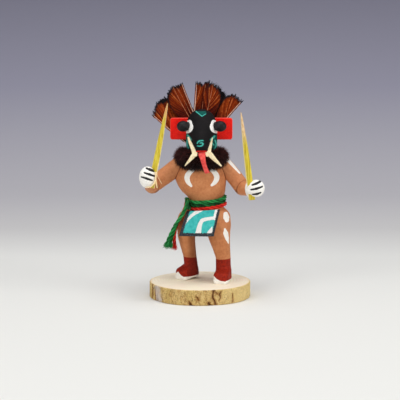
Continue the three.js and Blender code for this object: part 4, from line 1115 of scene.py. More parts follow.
piece("tongue_strip", V, F, g.done(col, g.span(n2, 0.3, 0.7, 0.5, 0.7), g.bump(n2, 0.6, 0.1)), "red_leather", ["tongue"])

# ------------------------------------------------------------------ the fur ruff
RX, RY, RZ = 0.8, -0.4, 84.0
nu, nv = 150, 48
u = np.arange(nu) / nu * 2 * math.pi
v = np.arange(nv) / nv * 2 * math.pi
U, W = np.meshgrid(u, v, indexing="ij")


def ruff_at(U, W, grow=0.0):
    lump = 0.5 * (fbm(np.stack([np.cos(U) * 9, np.sin(U) * 9, U * 0], -1), 4.0, 91, 2) - 0.5)
    r, rz = 3.9 + grow + lump, 4.6 + grow + lump * 0.6
    a = (11.4 + r * np.cos(W)) * np.cos(U)
    b = (10.4 + r * np.cos(W)) * np.sin(U)
    return np.stack([RX + a, RY + b, RZ + rz * np.sin(W) - 0.35 + 0.95 * np.cos(U) ** 4], -1)


P = ruff_at(U, W).reshape(-1, 3)
P = P + (0.35 * (fbm(P, 0.9, 92, 2) - 0.5))[:, None] * np.array([1, 1, 1])
i = np.arange(nu)[:, None] * nv
j = np.arange(nv)[None, :]
inx = (i + nv) % (nu * nv)
F = np.stack([i + j, inx + j, inx + (j + 1) % nv, i + (j + 1) % nv], -1).reshape(-1, 4)
g = G("fur_hide", 0.9, 0.15)
n1 = g.noise(0.4, 4.0, 0.7)
fur_core = piece("fur_ruff_hide", P, F, g.done(g.ramp(n1, [(0.3, lin(12, 5, 5)), (0.7, lin(38, 14, 12))]), 0.9, g.bump(n1, 1.0, 0.4)), "fur", ["fur_ruff"])
n = 11500
hu, hw = rng.random(n) * 2 * math.pi, rng.random(n) * 2 * math.pi
keep = rng.random(n) < (11.4 + 4.5 * np.cos(hw)) / 15.9
hu, hw = hu[keep], hw[keep]
root = ruff_at(hu, hw, -0.15)
e = 0.01
Tu = ruff_at(hu + e, hw) - ruff_at(hu - e, hw)
Tw = ruff_at(hu, hw + e) - ruff_at(hu, hw - e)
Nn = np.cross(Tu, Tw)
Nn /= np.linalg.norm(Nn, axis=1)[:, None]
Tu /= np.linalg.norm(Tu, axis=1)[:, None]
tuft = fbm(root, 2.2, 95, 2) - 0.5
tuft2 = fbm(root + 30, 2.6, 96, 2) - 0.5
n = len(root)
dirs = Nn + Tu * (0.9 * tuft[:, None] + 0.25 * rng.normal(size=(n, 1))) + np.array([0, 0, -1.0]) * (0.25 + 0.9 * tuft2[:, None]) + 0.18 * rng.normal(size=(n, 3))
length = np.clip(2.5 + 0.5 * rng.normal(size=n) + 1.4 * tuft2, 1.2, 3.6)
bend = Tu * (1.1 * tuft[:, None]) + np.array([0, 0, -0.75]) + 0.3 * rng.normal(size=(n, 3))
hv, hf, along, per = hairs(root, dirs, length, rng.uniform(0.09, 0.15, n), bend, 3)
tone = np.repeat(rng.random(n), per)
g = G("fur_hair", 0.6, 0.3, sheen=0.25, sheen_tint=lin(120, 60, 52))
fc = g.ramp(g.math("MULTIPLY_ADD", g.attr("along"), 0.45, g.math("MULTIPLY", g.attr("tone"), 0.55)), [(0.1, lin(14, 4, 5)), (0.45, lin(44, 12, 12)), (0.8, lin(90, 32, 28)), (1.0, lin(128, 62, 54))])
# painted shade: the hairs darken towards the bottom of the ruff, under the head
sep = g.node("ShaderNodeSeparateXYZ")
g.put(sep.inputs[0], g.obj())
low = g.math("MULTIPLY_ADD", g.noise(5.0, 2.0), 5.0, sep.outputs[2])
fc = g.mix(g.span(low, 88.0, 83.0, 0.0, 0.9), fc, lin(9, 3, 4))
piece("fur_ruff_hair", hv, hf, g.done(fc, 0.6), "fur", [], {"along": along, "tone": tone})

# ------------------------------------------------------------------ yarn
def yarn(pile, c, d, plies=3, pitch=5.0, closed=False, sides=12, phase=0.0, up=(0.31, 0.17, 0.93), taper=None, loosen=None, shade=0.0):
    """Plies twisted round the line c; d is the yarn's diameter."""
    T, A, B = frames(c, up, closed)
    seg = np.linalg.norm(np.diff(c, axis=0, append=c[:1] if closed else c[-1:]), axis=1)
    s = np.concatenate([[0], np.cumsum(seg)[:-1]])
    total = seg.sum()
    turns = total / pitch
    if closed:
        turns = round(turns * plies) / plies
        gap = math.atan2(float(np.cross(A[-1], A[0]) @ T[0]), float(A[-1] @ A[0]))
    else:
        gap = 0.0
    th = 2 * math.pi * turns * s / total + phase + gap * s / total
    k = 1 / math.sin(math.pi / plies) if plies > 1 else 0
    rp = d / 2 / (1 + k)
    ro = rp * k
    rp *= 1.13
    if closed:
        # plies only meet their own starts after whole turns, so every ply is one ring
        th = 2 * math.pi * round(total / pitch) * s / total + phase + gap * s / total
    for q in range(plies):
        a = th + 2 * math.pi * q / plies
        off = np.cos(a)[:, None] * A + np.sin(a)[:, None] * B
        rr = ro * (1 + (loosen if loosen is not None else 0))
        cc = c + (rr * off.T).T if np.ndim(rr) == 0 else c + rr[:, None] * off
        tt = np.roll(cc, -1, 0) - np.roll(cc, 1, 0) if closed else np.gradient(cc, axis=0)
        tt /= np.linalg.norm(tt, axis=1)[:, None]
        A2 = off - (off * tt).sum(1)[:, None] * tt
        A2 /= np.linalg.norm(A2, axis=1)[:, None]
        B2 = np.cross(tt, A2)
        # each ply is itself spun: shallow ridges run round it
        ang = np.arange(sides) / sides * 2 * math.pi
        rid = 1 + 0.07 * np.sin(4 * ang[None, :] - s[:, None] * 5.2 + q) + 0.10 * (fbm(cc * 1.0, 1.6, 101 + q, 2) - 0.5)[:, None]
        R = rp * rid
        if taper is not None:
            R = R * taper[:, None]
        V, F = skin_tube(cc, A2, B2, R, R, sides, closed)
        m = len(V)
        # painted shade: the side of each ply facing into the yarn is darker, in the crevices between plies; shade
        # darkens a whole yarn further, also painted shade
        ridge = np.tile(np.sin(4 * ang - 0) * 0.5 + 0.5, len(cc))
        painted_ply_light = np.tile(np.cos(ang) * 0.5 + 0.5, len(cc))
        if m > len(ridge):
            ridge, painted_ply_light = np.concatenate([ridge, [0.5, 0.5]]), np.concatenate([painted_ply_light, [0.5, 0.5]])
        pile.add(V, F, out=painted_ply_light * (1 - shade) - 0.15 * shade, ply=q / max(1, plies - 1))


def yarn_mat(name, dark, base, light):
    g = G(name, 0.85, 0.2, sheen=0.35, sheen_tint=light)
    n1 = g.noise(0.22, 3.0, 0.65)
    n2 = g.noise(2.5, 2.0)
    # out carries painted shade: low in the crevices between plies and on yarns darkened with shade
    f = g.math("MULTIPLY_ADD", g.attr("out"), 0.7, g.math("MULTIPLY_ADD", n1, 0.6, g.math("MULTIPLY_ADD", n2, 0.4, g.math("MULTIPLY_ADD", g.attr("ply"), 0.34, -0.60))))
    return g.done(g.ramp(f, [(0.08, dark), (0.42, base), (0.85, light)]), 0.85, g.bump(n1, 0.8, 0.12))


GREENY = yarn_mat("green_wool", lin(5, 30, 14), lin(18, 92, 42), lin(48, 152, 78))
REDY = yarn_mat("red_wool", lin(96, 6, 6), lin(192, 24, 18), lin(232, 50, 38))


def fuzz(name, line, d, count, mat, slot, closed=True, lim=1.0, segs=3):
    """Loose fibres that stand off the yarn."""
    m = len(line)
    i = rng.integers(0, m, count)
    T, A, B = frames(line, closed=closed)
    a = rng.random(count) * 2 * math.pi
    off = np.cos(a)[:, None] * A[i] + np.sin(a)[:, None] * B[i]
    root = line[i] + off * (d * 0.42)
    sgn = rng.choice([-1.0, 1.0], count)
    dirs = T[i] * sgn[:, None] * 1.2 + off * 0.55 + 0.35 * rng.normal(size=(count, 3))
    hv, hf, along, per = hairs(root, dirs, rng.uniform(0.5, 1.3, count) * lim, np.full(count, 0.035), -off * 0.4 + 0.5 * rng.normal(size=(count, 3)), segs)
    return hv, hf, along


BELT = dict(x=3.6, y=0.0, z=58.5, a=11.35, b=9.45)
SLOPE = math.tan(math.radians(5.2))


def belt_line(drop, out=0.0, n=300, wob=0.12, seed=0):
    a = np.arange(n) / n * 2 * math.pi
    r = out + wob * (fbm(np.stack([np.cos(a) * 4, np.sin(a) * 4, a * 0 + seed], 1), 2.0, 111 + seed, 2) - 0.5) * 2
    x, y = (BELT["a"] + r) * np.cos(a), (BELT["b"] + r) * np.sin(a)
    z = BELT["z"] - drop + x * SLOPE + y * 0.09 + 0.15 * np.sin(a * 2 + seed)
    return np.stack([BELT["x"] + x, BELT["y"] + y, z], 1)


pile = Pile()
# painted shade: the lower green turn and its loose fibres are darker than the upper turn
for k, drop in enumerate((-0.95, 0.9)):
    ln = belt_line(drop, -0.3 * k, 360, seed=k)
    yarn(pile, ln, 2.15, 3, 9.0, True, 12, phase=k * 1.3, shade=0.5 * k)
    hv, hf, al = fuzz("f", ln, 2.1, 520, None, None)
    pile.add(hv, hf, out=0.9 - 0.5 * k, ply=0.5)
pile.make("green_sash_turns", GREENY, slot="green_yarn", replaces=["green_belt"])
pile = Pile()
ln = belt_line(3.05, 0.1, 360, seed=3)
yarn(pile, ln, 2.3, 3, 9.5, True, 12)
hv, hf, al = fuzz("f", ln, 2.2, 520, None, None)
pile.add(hv, hf, out=0.9, ply=0.5)
pile.make("red_sash_turn", REDY, slot="red_yarn", replaces=["red_belt"])

# the knot: the end is brought up behind the turns and over them
pile = Pile()
loop = catmull([(-6.6, -4.4, 59.5, 0), (-8.1, -5.6, 60.2, 0), (-8.3, -7.8, 60.4, 0), (-8.1, -10.4, 60.2, 0), (-7.9, -12.2, 59.5, 0), (-7.7, -12.9, 58.2, 0), (-7.4, -12.7, 56.6, 0), (-7.0, -11.4, 55.0, 0), (-6.4, -9.0, 54.6, 0), (-6.1, -6.9, 55.4, 0)], 84)[:, :3]
# painted shade: the knot's yarn is darker through shade
yarn(pile, loop, 1.5, 3, 7.0, sides=10, shade=0.42)
loop2 = catmull([(-6.2, -7.0, 58.8, 0), (-6.9, -8.8, 59.4, 0), (-7.3, -10.4, 58.6, 0), (-7.2, -10.9, 57.2, 0), (-6.8, -9.6, 56.0, 0)], 44)[:, :3]
yarn(pile, loop2, 1.2, 3, 7.0, sides=10, shade=0.42)
hv, hf, al = fuzz("f", loop, 1.5, 160, None, None, closed=False)
pile.add(hv, hf, out=0.9, ply=0.5)
pile.make("sash_knot", GREENY, slot="green_yarn", replaces=["belt_knot"])

# the loose ends
TAILS = {
    "green_tail_front": (2.0, [(-7.75, -10.9, 59.3), (-7.9, -11.2, 57.6), (-8.4, -11.3, 55.6), (-9.9, -11.2, 52.4), (-12.0, -10.8, 49.0), (-14.5, -10.0, 45.2), (-17.0, -9.0, 40.2), (-18.8, -8.3, 36.2), (-20.2, -7.8, 32.2)]),
    "green_tail_back": (2.0, [(-8.0, -8.6, 59.6), (-8.1, -8.9, 57.5), (-8.6, -9.0, 55.4), (-10.0, -8.9, 52.1), (-12.0, -8.6, 48.7), (-14.0, -7.7, 44.8), (-15.8, -6.5, 40.2), (-17.0, -5.7, 36.2), (-17.9, -5.2, 31.8)]),
    "red_tail": (2.2, [(-8.05, -6.2, 59.5), (-8.2, -6.5, 57.3), (-8.8, -6.6, 55.0), (-10.0, -6.6, 51.8), (-11.8, -6.3, 48.3), (-13.7, -5.3, 44.4), (-15.1, -4.0, 40.0), (-15.5, -3.0, 36.0), (-15.3, -2.5, 30.4)]),
}
for name, (d, pts) in TAILS.items():
    c = catmull(np.column_stack([pts, np.zeros(len(pts))]), 180)[:, :3]
    L = np.linalg.norm(np.diff(c, axis=0), axis=1).sum()
    pile = Pile()
    mat, slot_name = (GREENY, "green_yarn") if "green" in name else (REDY, "red_yarn")
    end = np.clip((np.linspace(0, 1, 180) - 0.9) / 0.1, 0, 1)
    yarn(pile, c, d, 3, 10.0 if d < 2.1 else 10.5, sides=12, phase=len(name), taper=1 - 0.35 * end, loosen=0.25 * end)
    o = pile.make(name + "_yarn", mat, slot=slot_name, replaces=[name])
    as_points([tuple(p * MM) for p in c[::4]] + [tuple(c[-1] * MM)])
    # the end has come untwisted into its fibres
    fray = Pile()
    T, A, B = frames(c)
    m = 210
    a = rng.random(m) * 2 * math.pi
    rad = np.sqrt(rng.random(m)) * d * 0.42
    off = np.cos(a)[:, None] * A[-1] + np.sin(a)[:, None] * B[-1]
    back = rng.uniform(0.0, 1.0, m)
    root = c[-1] - T[-1] * (back * 2.6)[:, None] + off * rad[:, None]
    dirs = T[-1] * 1.0 + off * (rng.uniform(0.1, 0.75, m))[:, None] + 0.14 * rng.normal(size=(m, 3))
    hv, hf, along, per = hairs(root, dirs, rng.uniform(1.9, 3.1, m), rng.uniform(0.07, 0.13, m), np.array([0, 0, -0.5]) + 0.35 * rng.normal(size=(m, 3)), 4)
    fray.add(hv, hf, out=0.95, ply=0.5)
    hv, hf, al = fuzz("f", c, d, 260, None, None, closed=False)
    fray.add(hv, hf, out=0.9, ply=0.5)
    fray.make(name + "_fray", mat, slot=slot_name)

# ------------------------------------------------------------------ the apron
AP = dict(tl=(-7.7, -9.6, 53.2), tr=(12.0, -9.9, 54.4), bl=(-12.6, -12.3, 38.8), br=(8.1, -13.4, 38.6))
nx, ny, nz = 110, 90, 5
sx, sy = np.linspace(0, 1, nx), np.linspace(0, 1, ny)
S, Tt = np.meshgrid(sx, sy, indexing="ij")


def apron_at(s, t):
    tl, tr, bl, br = (np.array(AP[k]) for k in ("tl", "tr", "bl", "br"))
    a = tl + (tr - tl) * s[..., None]
    b = bl + (br - bl) * s[..., None]
    q = a + (b - a) * t[..., None]
    ss = np.clip(s, 0, 1)
    q[..., 1] -= 1.9 * np.sin(math.pi * ss) * (1 - 0.35 * t) + 0.5 * np.sin(math.pi * t)
    # a soft roll in the hide, and corners that lift a little
    q[..., 1] -= 0.35 * np.sin(s * 7.0 + t * 2.0) * t + 0.5 * (t**3) * (1 - ss) ** 3 - 0.45 * (t**3) * ss**4
    return q


th = 0.5
lay = []
for k in (-1, 1):
    q = apron_at(S, Tt)
    e = 0.01
    n = np.cross(apron_at(S + e, Tt) - apron_at(S - e, Tt), apron_at(S, Tt + e) - apron_at(S, Tt - e))
    n /= np.linalg.norm(n, axis=-1)[..., None]
    n *= -np.sign(n[nx // 2, ny // 2, 1])
    rough_edge = 0.12 * (fbm(q, 1.2, 121, 2) - 0.5)
    lay.append(q + n * (k * th / 2) + rough_edge[..., None] * np.array([1, 0, 1]) * ((S < 0.02) | (S > 0.98) | (Tt > 0.98))[..., None])
back_l, front_l = (lay[0], lay[1]) if lay[0][..., 1].mean() > lay[1][..., 1].mean() else (lay[1], lay[0])
V = np.concatenate([front_l.reshape(-1, 3), back_l.reshape(-1, 3)])
i = np.arange(nx - 1)[:, None] * ny
j = np.arange(ny - 1)[None, :]
Ff = np.stack([i + j, i + j + 1, i + ny + j + 1, i + ny + j], -1).reshape(-1, 4)
m = nx * ny
Fb = Ff[:, ::-1] + m
rim_i = np.concatenate([np.arange(nx) * ny, (nx - 1) * ny + np.arange(1, ny), (np.arange(nx - 2, -1, -1)) * ny + ny - 1, np.arange(ny - 2, 0, -1)])
nxt = np.roll(rim_i, -1)
Fr = np.stack([rim_i, nxt, nxt + m, rim_i + m], -1)
w_mm, h_mm = 20.2, 15.3
X = np.tile((S * w_mm).ravel(), 2)
Y = np.tile((Tt * h_mm).ravel(), 2)
# the pattern is laid out in the front elevation, then painted on the hide
Q = front(V)
border = np.minimum.reduce([X - 1.85, w_mm - X - 1.6, h_mm - Y - 2.0])
bandA = stroke(Q, curve2([(205.0, 207.3, 1.7), (199.8, 210.6, 1.7), (194.6, 213.4, 1.6), (189.6, 217.6, 1.4), (185.6, 222.8, 0.9), (183.6, 226.6, 0.5)], 16))
bandB = np.minimum(stroke(Q, [(217.6, 207.6, 1.9), (216.4, 212.0, 1.9), (214.6, 218.6, 1.5)]),
                   stroke(Q, curve2([(214.6, 217.9, 1.6), (207.6, 218.9, 1.7), (202.2, 220.5, 1.9), (199.9, 225.0, 2.1), (198.6, 231.0, 2.7), (197.8, 236.6, 3.2)], 16)))
tri_br = poly(Q, [(212.3, 226.2), (213.0, 234.8), (205.4, 234.8), (208.4, 230.6)])
blueTL = poly(Q, [(187.0, 210.0), (195.0, 210.4), (188.6, 215.8), (185.0, 216.4)])
whites = np.minimum.reduce([bandA, bandB, tri_br])
isfront = np.concatenate([np.ones(m, bool), np.zeros(m, bool)])
whites = only(whites, isfront)
g = G("painted_hide", 0.72, 0.25)
n1, n2 = g.noise(0.32, 4.0, 0.6), g.noise(2.2, 3.0)
teal = g.ramp(g.math("MULTIPLY_ADD", n1, 0.5, g.math("MULTIPLY", n2, 0.5)), [(0.32, lin(38, 150, 150)), (0.5, lin(56, 180, 176)), (0.7, lin(92, 200, 192))])
white = g.ramp(n1, [(0.3, lin(214, 212, 210)), (0.6, lin(238, 236, 232))])
col = g.mix(g.mask(g.attr("white"), 0.9, 0.7, 0.14), teal, white)
blackc = g.ramp(n1, [(0.35, lin(26, 28, 34)), (0.7, lin(58, 62, 70))])
col = g.mix(g.mask(g.attr("border"), 1.7, 0.7, 0.16), col, blackc)
col = g.mix(g.math("MULTIPLY", g.mask(g.attr("border"), 0.3, 0.6, 0.2), g.span(g.noise(0.4, 2.0), 0.62, 0.7)), col, lin(120, 140, 142))
hidec = g.ramp(n2, [(0.3, lin(196, 176, 146)), (0.7, lin(218, 202, 176))])
col = g.mix(g.attr("reverse"), col, hidec)
apron = piece("apron_hide", V, [Ff, Fb, Fr], g.done(col, 0.72, g.bump(n1, 0.55, 0.1)), "painted_hide", ["apron"],
              {"white": whites, "border": border, "reverse": 1.0 - isfront})
if apron.data.polygons[10].normal.y > 0:
    apron.data.flip_normals()

# ------------------------------------------------------------------ the feather crest
LEAN = math.radians(12)
FAN_Y, FAN_Z, LAYER = 9.6, 104.0, 0.8
CREST = [
    ("feather_1", (-7.0, -13.0), (-28.8, 5.4), 0.4, 10.4, 2), ("feather_2", (-6.6, -0.6), (-23.0, 14.2), 4.4, 3.6, 3),
    ("feather_3", (-5.0, 1.0), (-16.6, 22.3), 6.8, 2.2, 0), ("feather_4", (-3.6, 1.4), (-14.5, 22.4), 2.2, 2.2, 1),
    ("feather_5", (-1.9, 1.8), (-11.2, 24.4), 4.8, 0.4, 2), ("feather_6", (-4.3, 0.6), (-2.0, 24.7), 0.4, 5.2, 3),
    ("feather_7", (0.6, 1.2), (3.6, 24.4), 1.2, 4.5, 2), ("feather_8", (2.6, 0.6), (8.0, 24.2), 4.2, 6.8, 0),
    ("feather_9", (4.4, 0.6), (13.4, 18.6), 3.4, 3.0, 3), ("feather_10", (6.4, 0.0), (15.0, 17.0), 2.8, 3.0, 2),
    ("feather_11", (9.0, -6.0), (25.5, 13.8), 9.0, 0.4, 1),
]


def fan(a, b, d):
    """A point of the leaning plane: a across, b up it, d in front of it."""
    return np.stack([a, b * math.sin(LEAN) - d * math.cos(LEAN), b * math.cos(LEAN) + d * math.sin(LEAN)], -1)


g = G("feather_vane", 0.7, 0.06)
ss, tt, rn, q01 = g.attr("along"), g.attr("across"), g.attr("tone"), g.attr("place")
streak = g.math("MULTIPLY_ADD", rn, 0.6, g.math("MULTIPLY", g.noise(1.1, 3.0), 0.4))
rust = g.ramp(streak, [(0.14, lin(40, 7, 3)), (0.36, lin(84, 21, 4)), (0.58, lin(130, 44, 7)), (0.74, lin(158, 68, 17)), (0.90, lin(212, 134, 82))])
maroon = g.ramp(streak, [(0.2, lin(28, 4, 3)), (0.5, lin(72, 13, 5)), (0.85, lin(134, 46, 20))])
col = g.mix(g.span(g.math("MULTIPLY_ADD", streak, 0.2, ss), 0.36, 0.74), maroon, rust)
rimd = g.math("MULTIPLY_ADD", rn, -0.9, g.attr("rim"))
tipm = g.span(rimd, 0.75, 0.15)
col = g.mix(g.span(rimd, 2.0, 0.6, 0.0, 0.55), col, lin(64, 22, 8))
col = g.mix(tipm, col, g.ramp(rn, [(0.2, lin(12, 11, 15)), (0.8, lin(34, 28, 30))]))
VANE = g.done(col, g.span(rn, 0, 1, 0.6, 0.75))
g = G("feather_shaft", 0.4, 0.45)
SHAFT = g.done(g.ramp(g.noise(1.2), [(0.3, lin(214, 160, 132)), (0.7, lin(240, 206, 182))]), 0.4)
g = G("feather_shaft_dark", 0.55, 0.15)
SHAFT_D = g.done(g.ramp(g.noise(1.2), [(0.3, lin(140, 66, 30)), (0.7, lin(206, 138, 98))]), 0.55)
g = G("feather_shaft_black", 0.6, 0.1)
SHAFT_B = g.done(g.ramp(g.noise(1.2), [(0.3, lin(20, 12, 12)), (0.7, lin(44, 24, 18))]), 0.6)
# the vane's outline, as (place along the shaft, share of the full width)
RIM = np.array([(0, 0.26, 0.62), (0.15, 0.42, 0.86), (0.33, 0.64, 0.98), (0.48, 0.80, 1.0), (0.60, 0.90, 0.93), (0.73, 0.965, 0.74), (0.87, 1.0, 0.42), (1.0, 1.012, 0.0)])
RIMS = {
    "feather_1": [(0, 0.50, 0.78), (0.15, 0.68, 1.0), (0.3, 0.84, 1.12), (0.45, 0.97, 1.12), (0.58, 1.05, 1.0), (0.70, 1.075, 0.81), (0.8, 1.08, 0.62), (0.9, 1.06, 0.39), (0.96, 1.025, 0.16), (1, 1, 0)],
    "feather_3": [(0, 0.25, 0.70), (0.15, 0.40, 0.93), (0.33, 0.60, 1.04), (0.48, 0.74, 0.95), (0.60, 0.84, 0.80), (0.73, 0.91, 0.60), (0.87, 0.965, 0.38), (0.95, 0.99, 0.24), (1, 1.01, 0)],
    "feather_8": [(0, 0.26, 0.62), (0.2, 0.42, 0.85), (0.4, 0.60, 1.0), (0.55, 0.72, 0.98), (0.68, 0.82, 0.84), (0.8, 0.90, 0.68), (0.9, 0.96, 0.42), (0.96, 0.985, 0.18), (1, 1.0, 0)],
    "feather_11": [(0, 0.35, 0.62), (0.15, 0.48, 0.82), (0.33, 0.64, 0.95), (0.48, 0.768, 1.0), (0.60, 0.867, 0.97), (0.73, 0.962, 0.77), (0.87, 0.996, 0.53), (0.95, 0.998, 0.22), (1, 1, 0)],
}
PALE = {"feather_1", "feather_5", "feather_6", "feather_11"}
OPEN = {("feather_1", -1), ("feather_2", 1), ("feather_2", -1), ("feather_3", 1), ("feather_8", -1), ("feather_9", 1), ("feather_9", -1),
        ("feather_10", 1), ("feather_10", -1), ("feather_11", 1)}
RIM_MM = {"feather_1": 0.85, "feather_2": 1.7, "feather_3": 1.0, "feather_8": 1.1, "feather_9": 1.8, "feather_10": 2.2, "feather_11": 1.0}
FRINGE = {"feather_2": 1, "feather_9": -1, "feather_10": 1, "feather_8": -1}

for fi, (name, root, tip, wl, wr, layer) in enumerate(CREST):
    r = np.random.default_rng(500 + fi)
    a0, a1 = np.array(root), np.array(tip)
    L = np.linalg.norm(a1 - a0)
    d = (a1 - a0) / L
    left = np.array([-d[1], d[0]])
    Y0, Z0 = FAN_Y + layer * LAYER * math.cos(LEAN), FAN_Z - layer * LAYER * math.sin(LEAN)
    origin = np.array([0, Y0, Z0])
    bow = 0.5 * (-1 if fi % 2 else 1)

    def place(s_mm, x, h, a0=a0, d=d, left=left, origin=origin, L=L, bow=bow):
        """s along the shaft, x to its left, h to the front."""
        curve = bow * np.sin(np.clip(s_mm / L, 0, 1.2) * math.pi) * 0.6
        p = a0 + np.multiply.outer(s_mm, d) + np.multiply.outer(x + curve, left)
        cup = 0.18 + h - 0.010 * x * x
        return origin + fan(p[..., 0], p[..., 1], cup)

    pile = Pile()
    rim = np.array(RIMS[name]) if name in RIMS else RIM
    nrm = fan(np.array(0.0), np.array(0.0), np.array(1.0))
    rep = lambda v: np.concatenate([np.repeat(v, 4), [v[0], v[-1]]])
    for sgn, W in ((1, wl), (-1, wr)):
        if W < 0.8:
            at = np.arange(0.1 * L, L * 0.97, 0.3)
            jobs = [(s0, s0 + 1.3, W + 0.25, s0 / L) for s0 in at]
        else:
            nb = int(44 + 19 * W)
            q = (np.arange(nb) + r.random(nb) * 0.8) / nb
            s1 = np.interp(q, rim[:, 0], rim[:, 1]) * L
            x1 = np.interp(q, rim[:, 0], rim[:, 2]) * W
            s0 = (0.03 + 0.52 * q ** 1.1) * L
            jobs = list(zip(s0, s1, x1, q))
        # neighbours cling together in clumps with splits between them
        nb = len(jobs)
        shift, longer, tone0 = np.zeros(nb), np.zeros(nb), np.zeros(nb)
        k = 0
        while k < nb:
            m = int(r.integers(3, 9))
            shift[k:k + m] = r.normal(0, 0.05)
            longer[k:k + m] = r.normal(0, 0.28) + (0.6 if r.random() < 0.15 else 0)
            tone0[k:k + m] = r.choice([0.0, 0.35, 0.55, 0.75, 1.15], p=[0.18, 0.24, 0.26, 0.20, 0.12])
            k += m
        for bi, (sa, sb, xb, q) in enumerate(jobs):
            n = 9 if W > 0.8 else 4
            t = np.linspace(0, 1, n + 1)
            sc, xc = sa + 0.36 * (sb - sa), xb * 0.52
            y = (1 - t) ** 2 * sa + 2 * t * (1 - t) * sc + t * t * sb
            x = 2 * t * (1 - t) * xc + t * t * xb
            dy, dx = y[-1] - y[-2], x[-1] - x[-2]
            dn = math.hypot(dy, dx)
            ext = (longer[bi] * (1 + 0.7 * (q > 0.62)) + r.normal(0, 0.16)) * (0.35 + 0.65 * q if W > 0.8 else 0.3)
            y = y + ext * dy / dn * t ** 3
            x = x + (ext * dx / dn + shift[bi]) * t ** 3
            x = np.maximum(x, 0.0)
            h = r.normal(0, 0.03) * t + 0.06 * t * (1 if bi % 2 else -1)
            c = place(y, sgn * x, h)
            T = np.gradient(c, axis=0)
            T /= np.linalg.norm(T, axis=1)[:, None] + 1e-9
            A = np.cross(T, nrm)
            A /= np.linalg.norm(A, axis=1)[:, None] + 1e-9
            half = 0.16 * (0.55 + 0.6 * t) * np.clip((1 - t) * 6.0, 0.25, 1)
            V, F = skin_tube(c, A, np.tile(nrm, (n + 1, 1)), half, 0.03 + 0 * t, 4)
            end_mm = (1 - t) * math.hypot(sb - sa, xb)
            if W > 0.8:
                dark_mm = RIM_MM.get(name, 1.0) * (0.25 + min(1.0, q * 1.5)) if (name, sgn) in OPEN else (RIM_MM.get(name, 1.1) if q > 0.72 else -1.0)
            else:
                dark_mm = -1.0 if q < 0.90 else 1.6
            rim_d = end_mm - dark_mm + 0.9
            tone = float(np.clip(0.72 * min(tone0[bi], 0.42 + 0.9 * q) + 0.28 * r.random() + (0.12 if name in ("feather_1", "feather_11") else 0), 0, 1))
            pile.add(V, F, along=rep(np.clip(y / L, 0, 1.1)), across=rep(t), tone=tone, place=float(q), rim=rep(rim_d))
    # dark loose ends past the rim
    sd = FRINGE.get(name, 0)
    m = 120 if sd else 26
    q = r.uniform(0.3 if sd else 0.55, 1.0, m)
    side_pick = np.full(m, sd) if sd else r.choice([1, -1], m)
    Wq = np.where(side_pick > 0, wl, wr)
    s1 = np.where(Wq < 0.8, np.interp(q, RIM[:, 0], RIM[:, 1]) * 0.97, np.interp(q, rim[:, 0], rim[:, 1])) * L - 0.7
    x1 = np.interp(q, rim[:, 0], rim[:, 2]) * np.maximum(Wq, 0.3) - 0.3
    root_p = place(s1, side_pick * np.maximum(x1, 0), np.full(m, 0.02))
    out_p = place(s1 + 1.0, side_pick * (np.maximum(x1, 0) + 0.35 + 0.4 * r.random(m)), np.full(m, 0.05))
    hv, hf, al, per = hairs(root_p, out_p - root_p + 0.12 * r.normal(size=(m, 3)), r.uniform(0.9, 1.6 if not sd else 3.0, m), np.full(m, 0.055 if not sd else 0.075), 0.35 * r.normal(size=(m, 3)), 3)
    pile.add(hv, hf, along=1.0, across=1.0, tone=0.4, place=1.0, rim=-1.0)
    pile.make(name + "_vane", VANE, slot="feather", replaces=[name])
    s = np.linspace(-0.01, 0.93 if name == "feather_11" else 0.97, 60)
    c = place(s * L, s * 0, 0.05 + 0 * s)
    T, A, B = frames(c)
    pale = name in PALE
    rr = (0.30 if pale else 0.22) * (1 - 0.76 * np.clip(s, 0, 1)) + 0.03
    V, F = skin_tube(c, A, B, rr, rr, 8)
    piece(name + "_shaft", V, F, SHAFT if pale else SHAFT_B if name in ("feather_2", "feather_9", "feather_10") else SHAFT_D, "feather")

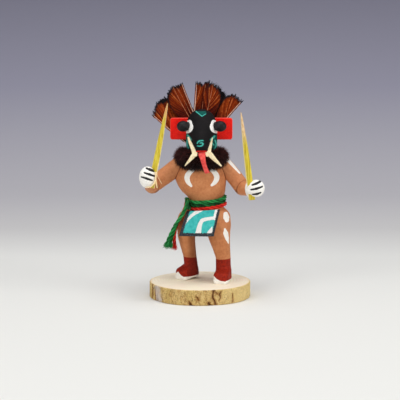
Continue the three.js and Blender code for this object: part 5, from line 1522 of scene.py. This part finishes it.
# ------------------------------------------------------------------ floor, backdrop and light
fl = []
y0, rad_c = 0.42, 0.5
prof = [(-3.0, 0.0), (-1.0, 0.0), (0.0, 0.0), (y0, 0.0)]
prof += [(y0 + rad_c * math.sin(a), rad_c * (1 - math.cos(a))) for a in np.linspace(0.05, math.pi / 2, 24)]
prof += [(y0 + rad_c, 3.0)]
fv = [(x, y, z) for y, z in prof for x in (-4.0, 4.0)]
ffc = [(2 * k, 2 * k + 1, 2 * k + 3, 2 * k + 2) for k in range(len(prof) - 1)]
fm = bpy.data.meshes.new("floor")
fm.from_pydata(fv, [], ffc)
fm.polygons.foreach_set("use_smooth", np.ones(len(ffc), bool))
floor = bpy.data.objects.new("floor", fm)
bpy.context.scene.collection.objects.link(floor)
g = G("paper_sweep", 0.9, 0.1)
sep = g.node("ShaderNodeSeparateXYZ")
g.put(sep.inputs[0], g.node("ShaderNodeTexCoord").outputs["Object"])
# painted shade: the sweep darkens and turns bluer up and away, standing in for the light's fall-off
hgt = g.math("ADD", sep.outputs[1], g.math("MULTIPLY", sep.outputs[2], 2.2))
col = g.ramp(g.span(hgt, 0.0, 1.7, smooth=False), [(0.0, (0.80, 0.80, 0.77)), (0.08, (0.775, 0.775, 0.75)), (0.15, (0.62, 0.612, 0.612)), (0.24, (0.57, 0.56, 0.588)), (0.5, (0.30, 0.295, 0.37)), (0.75, (0.15, 0.148, 0.195)), (1.0, (0.092, 0.092, 0.124))])
fm.materials.append(g.done(col, 0.9))


def area(name, at, aim, size, power, color=(1, 1, 1), shape="SQUARE"):
    ld = bpy.data.lights.new(name, "AREA")
    ld.energy = power
    ld.color = color
    ld.shape = shape
    ld.size = size
    lo = bpy.data.objects.new(name, ld)
    lo.location = at
    lo.rotation_euler = (Vector(aim) - Vector(at)).to_track_quat("-Z", "Y").to_euler()
    bpy.context.scene.collection.objects.link(lo)


area("top_softbox", (0.0, -0.2, 1.1), (0, 0.0, 0.05), 1.0, 9.8)
area("front_right", (1.2, -0.62, 0.5), (0, 0, 0.06), 0.7, 7.4, (1, 0.985, 0.96))
area("front_left", (-0.95, -1.0, 0.6), (0, 0, 0.06), 0.7, 6.8, (1, 0.99, 0.975))
world = bpy.data.worlds.new("studio")
bpy.context.scene.world = world
world.use_nodes = True
world.node_tree.nodes["Background"].inputs["Color"].default_value = (0.95, 0.95, 0.98, 1)
world.node_tree.nodes["Background"].inputs["Strength"].default_value = 0.27
bpy.context.scene.view_settings.view_transform = "Standard"
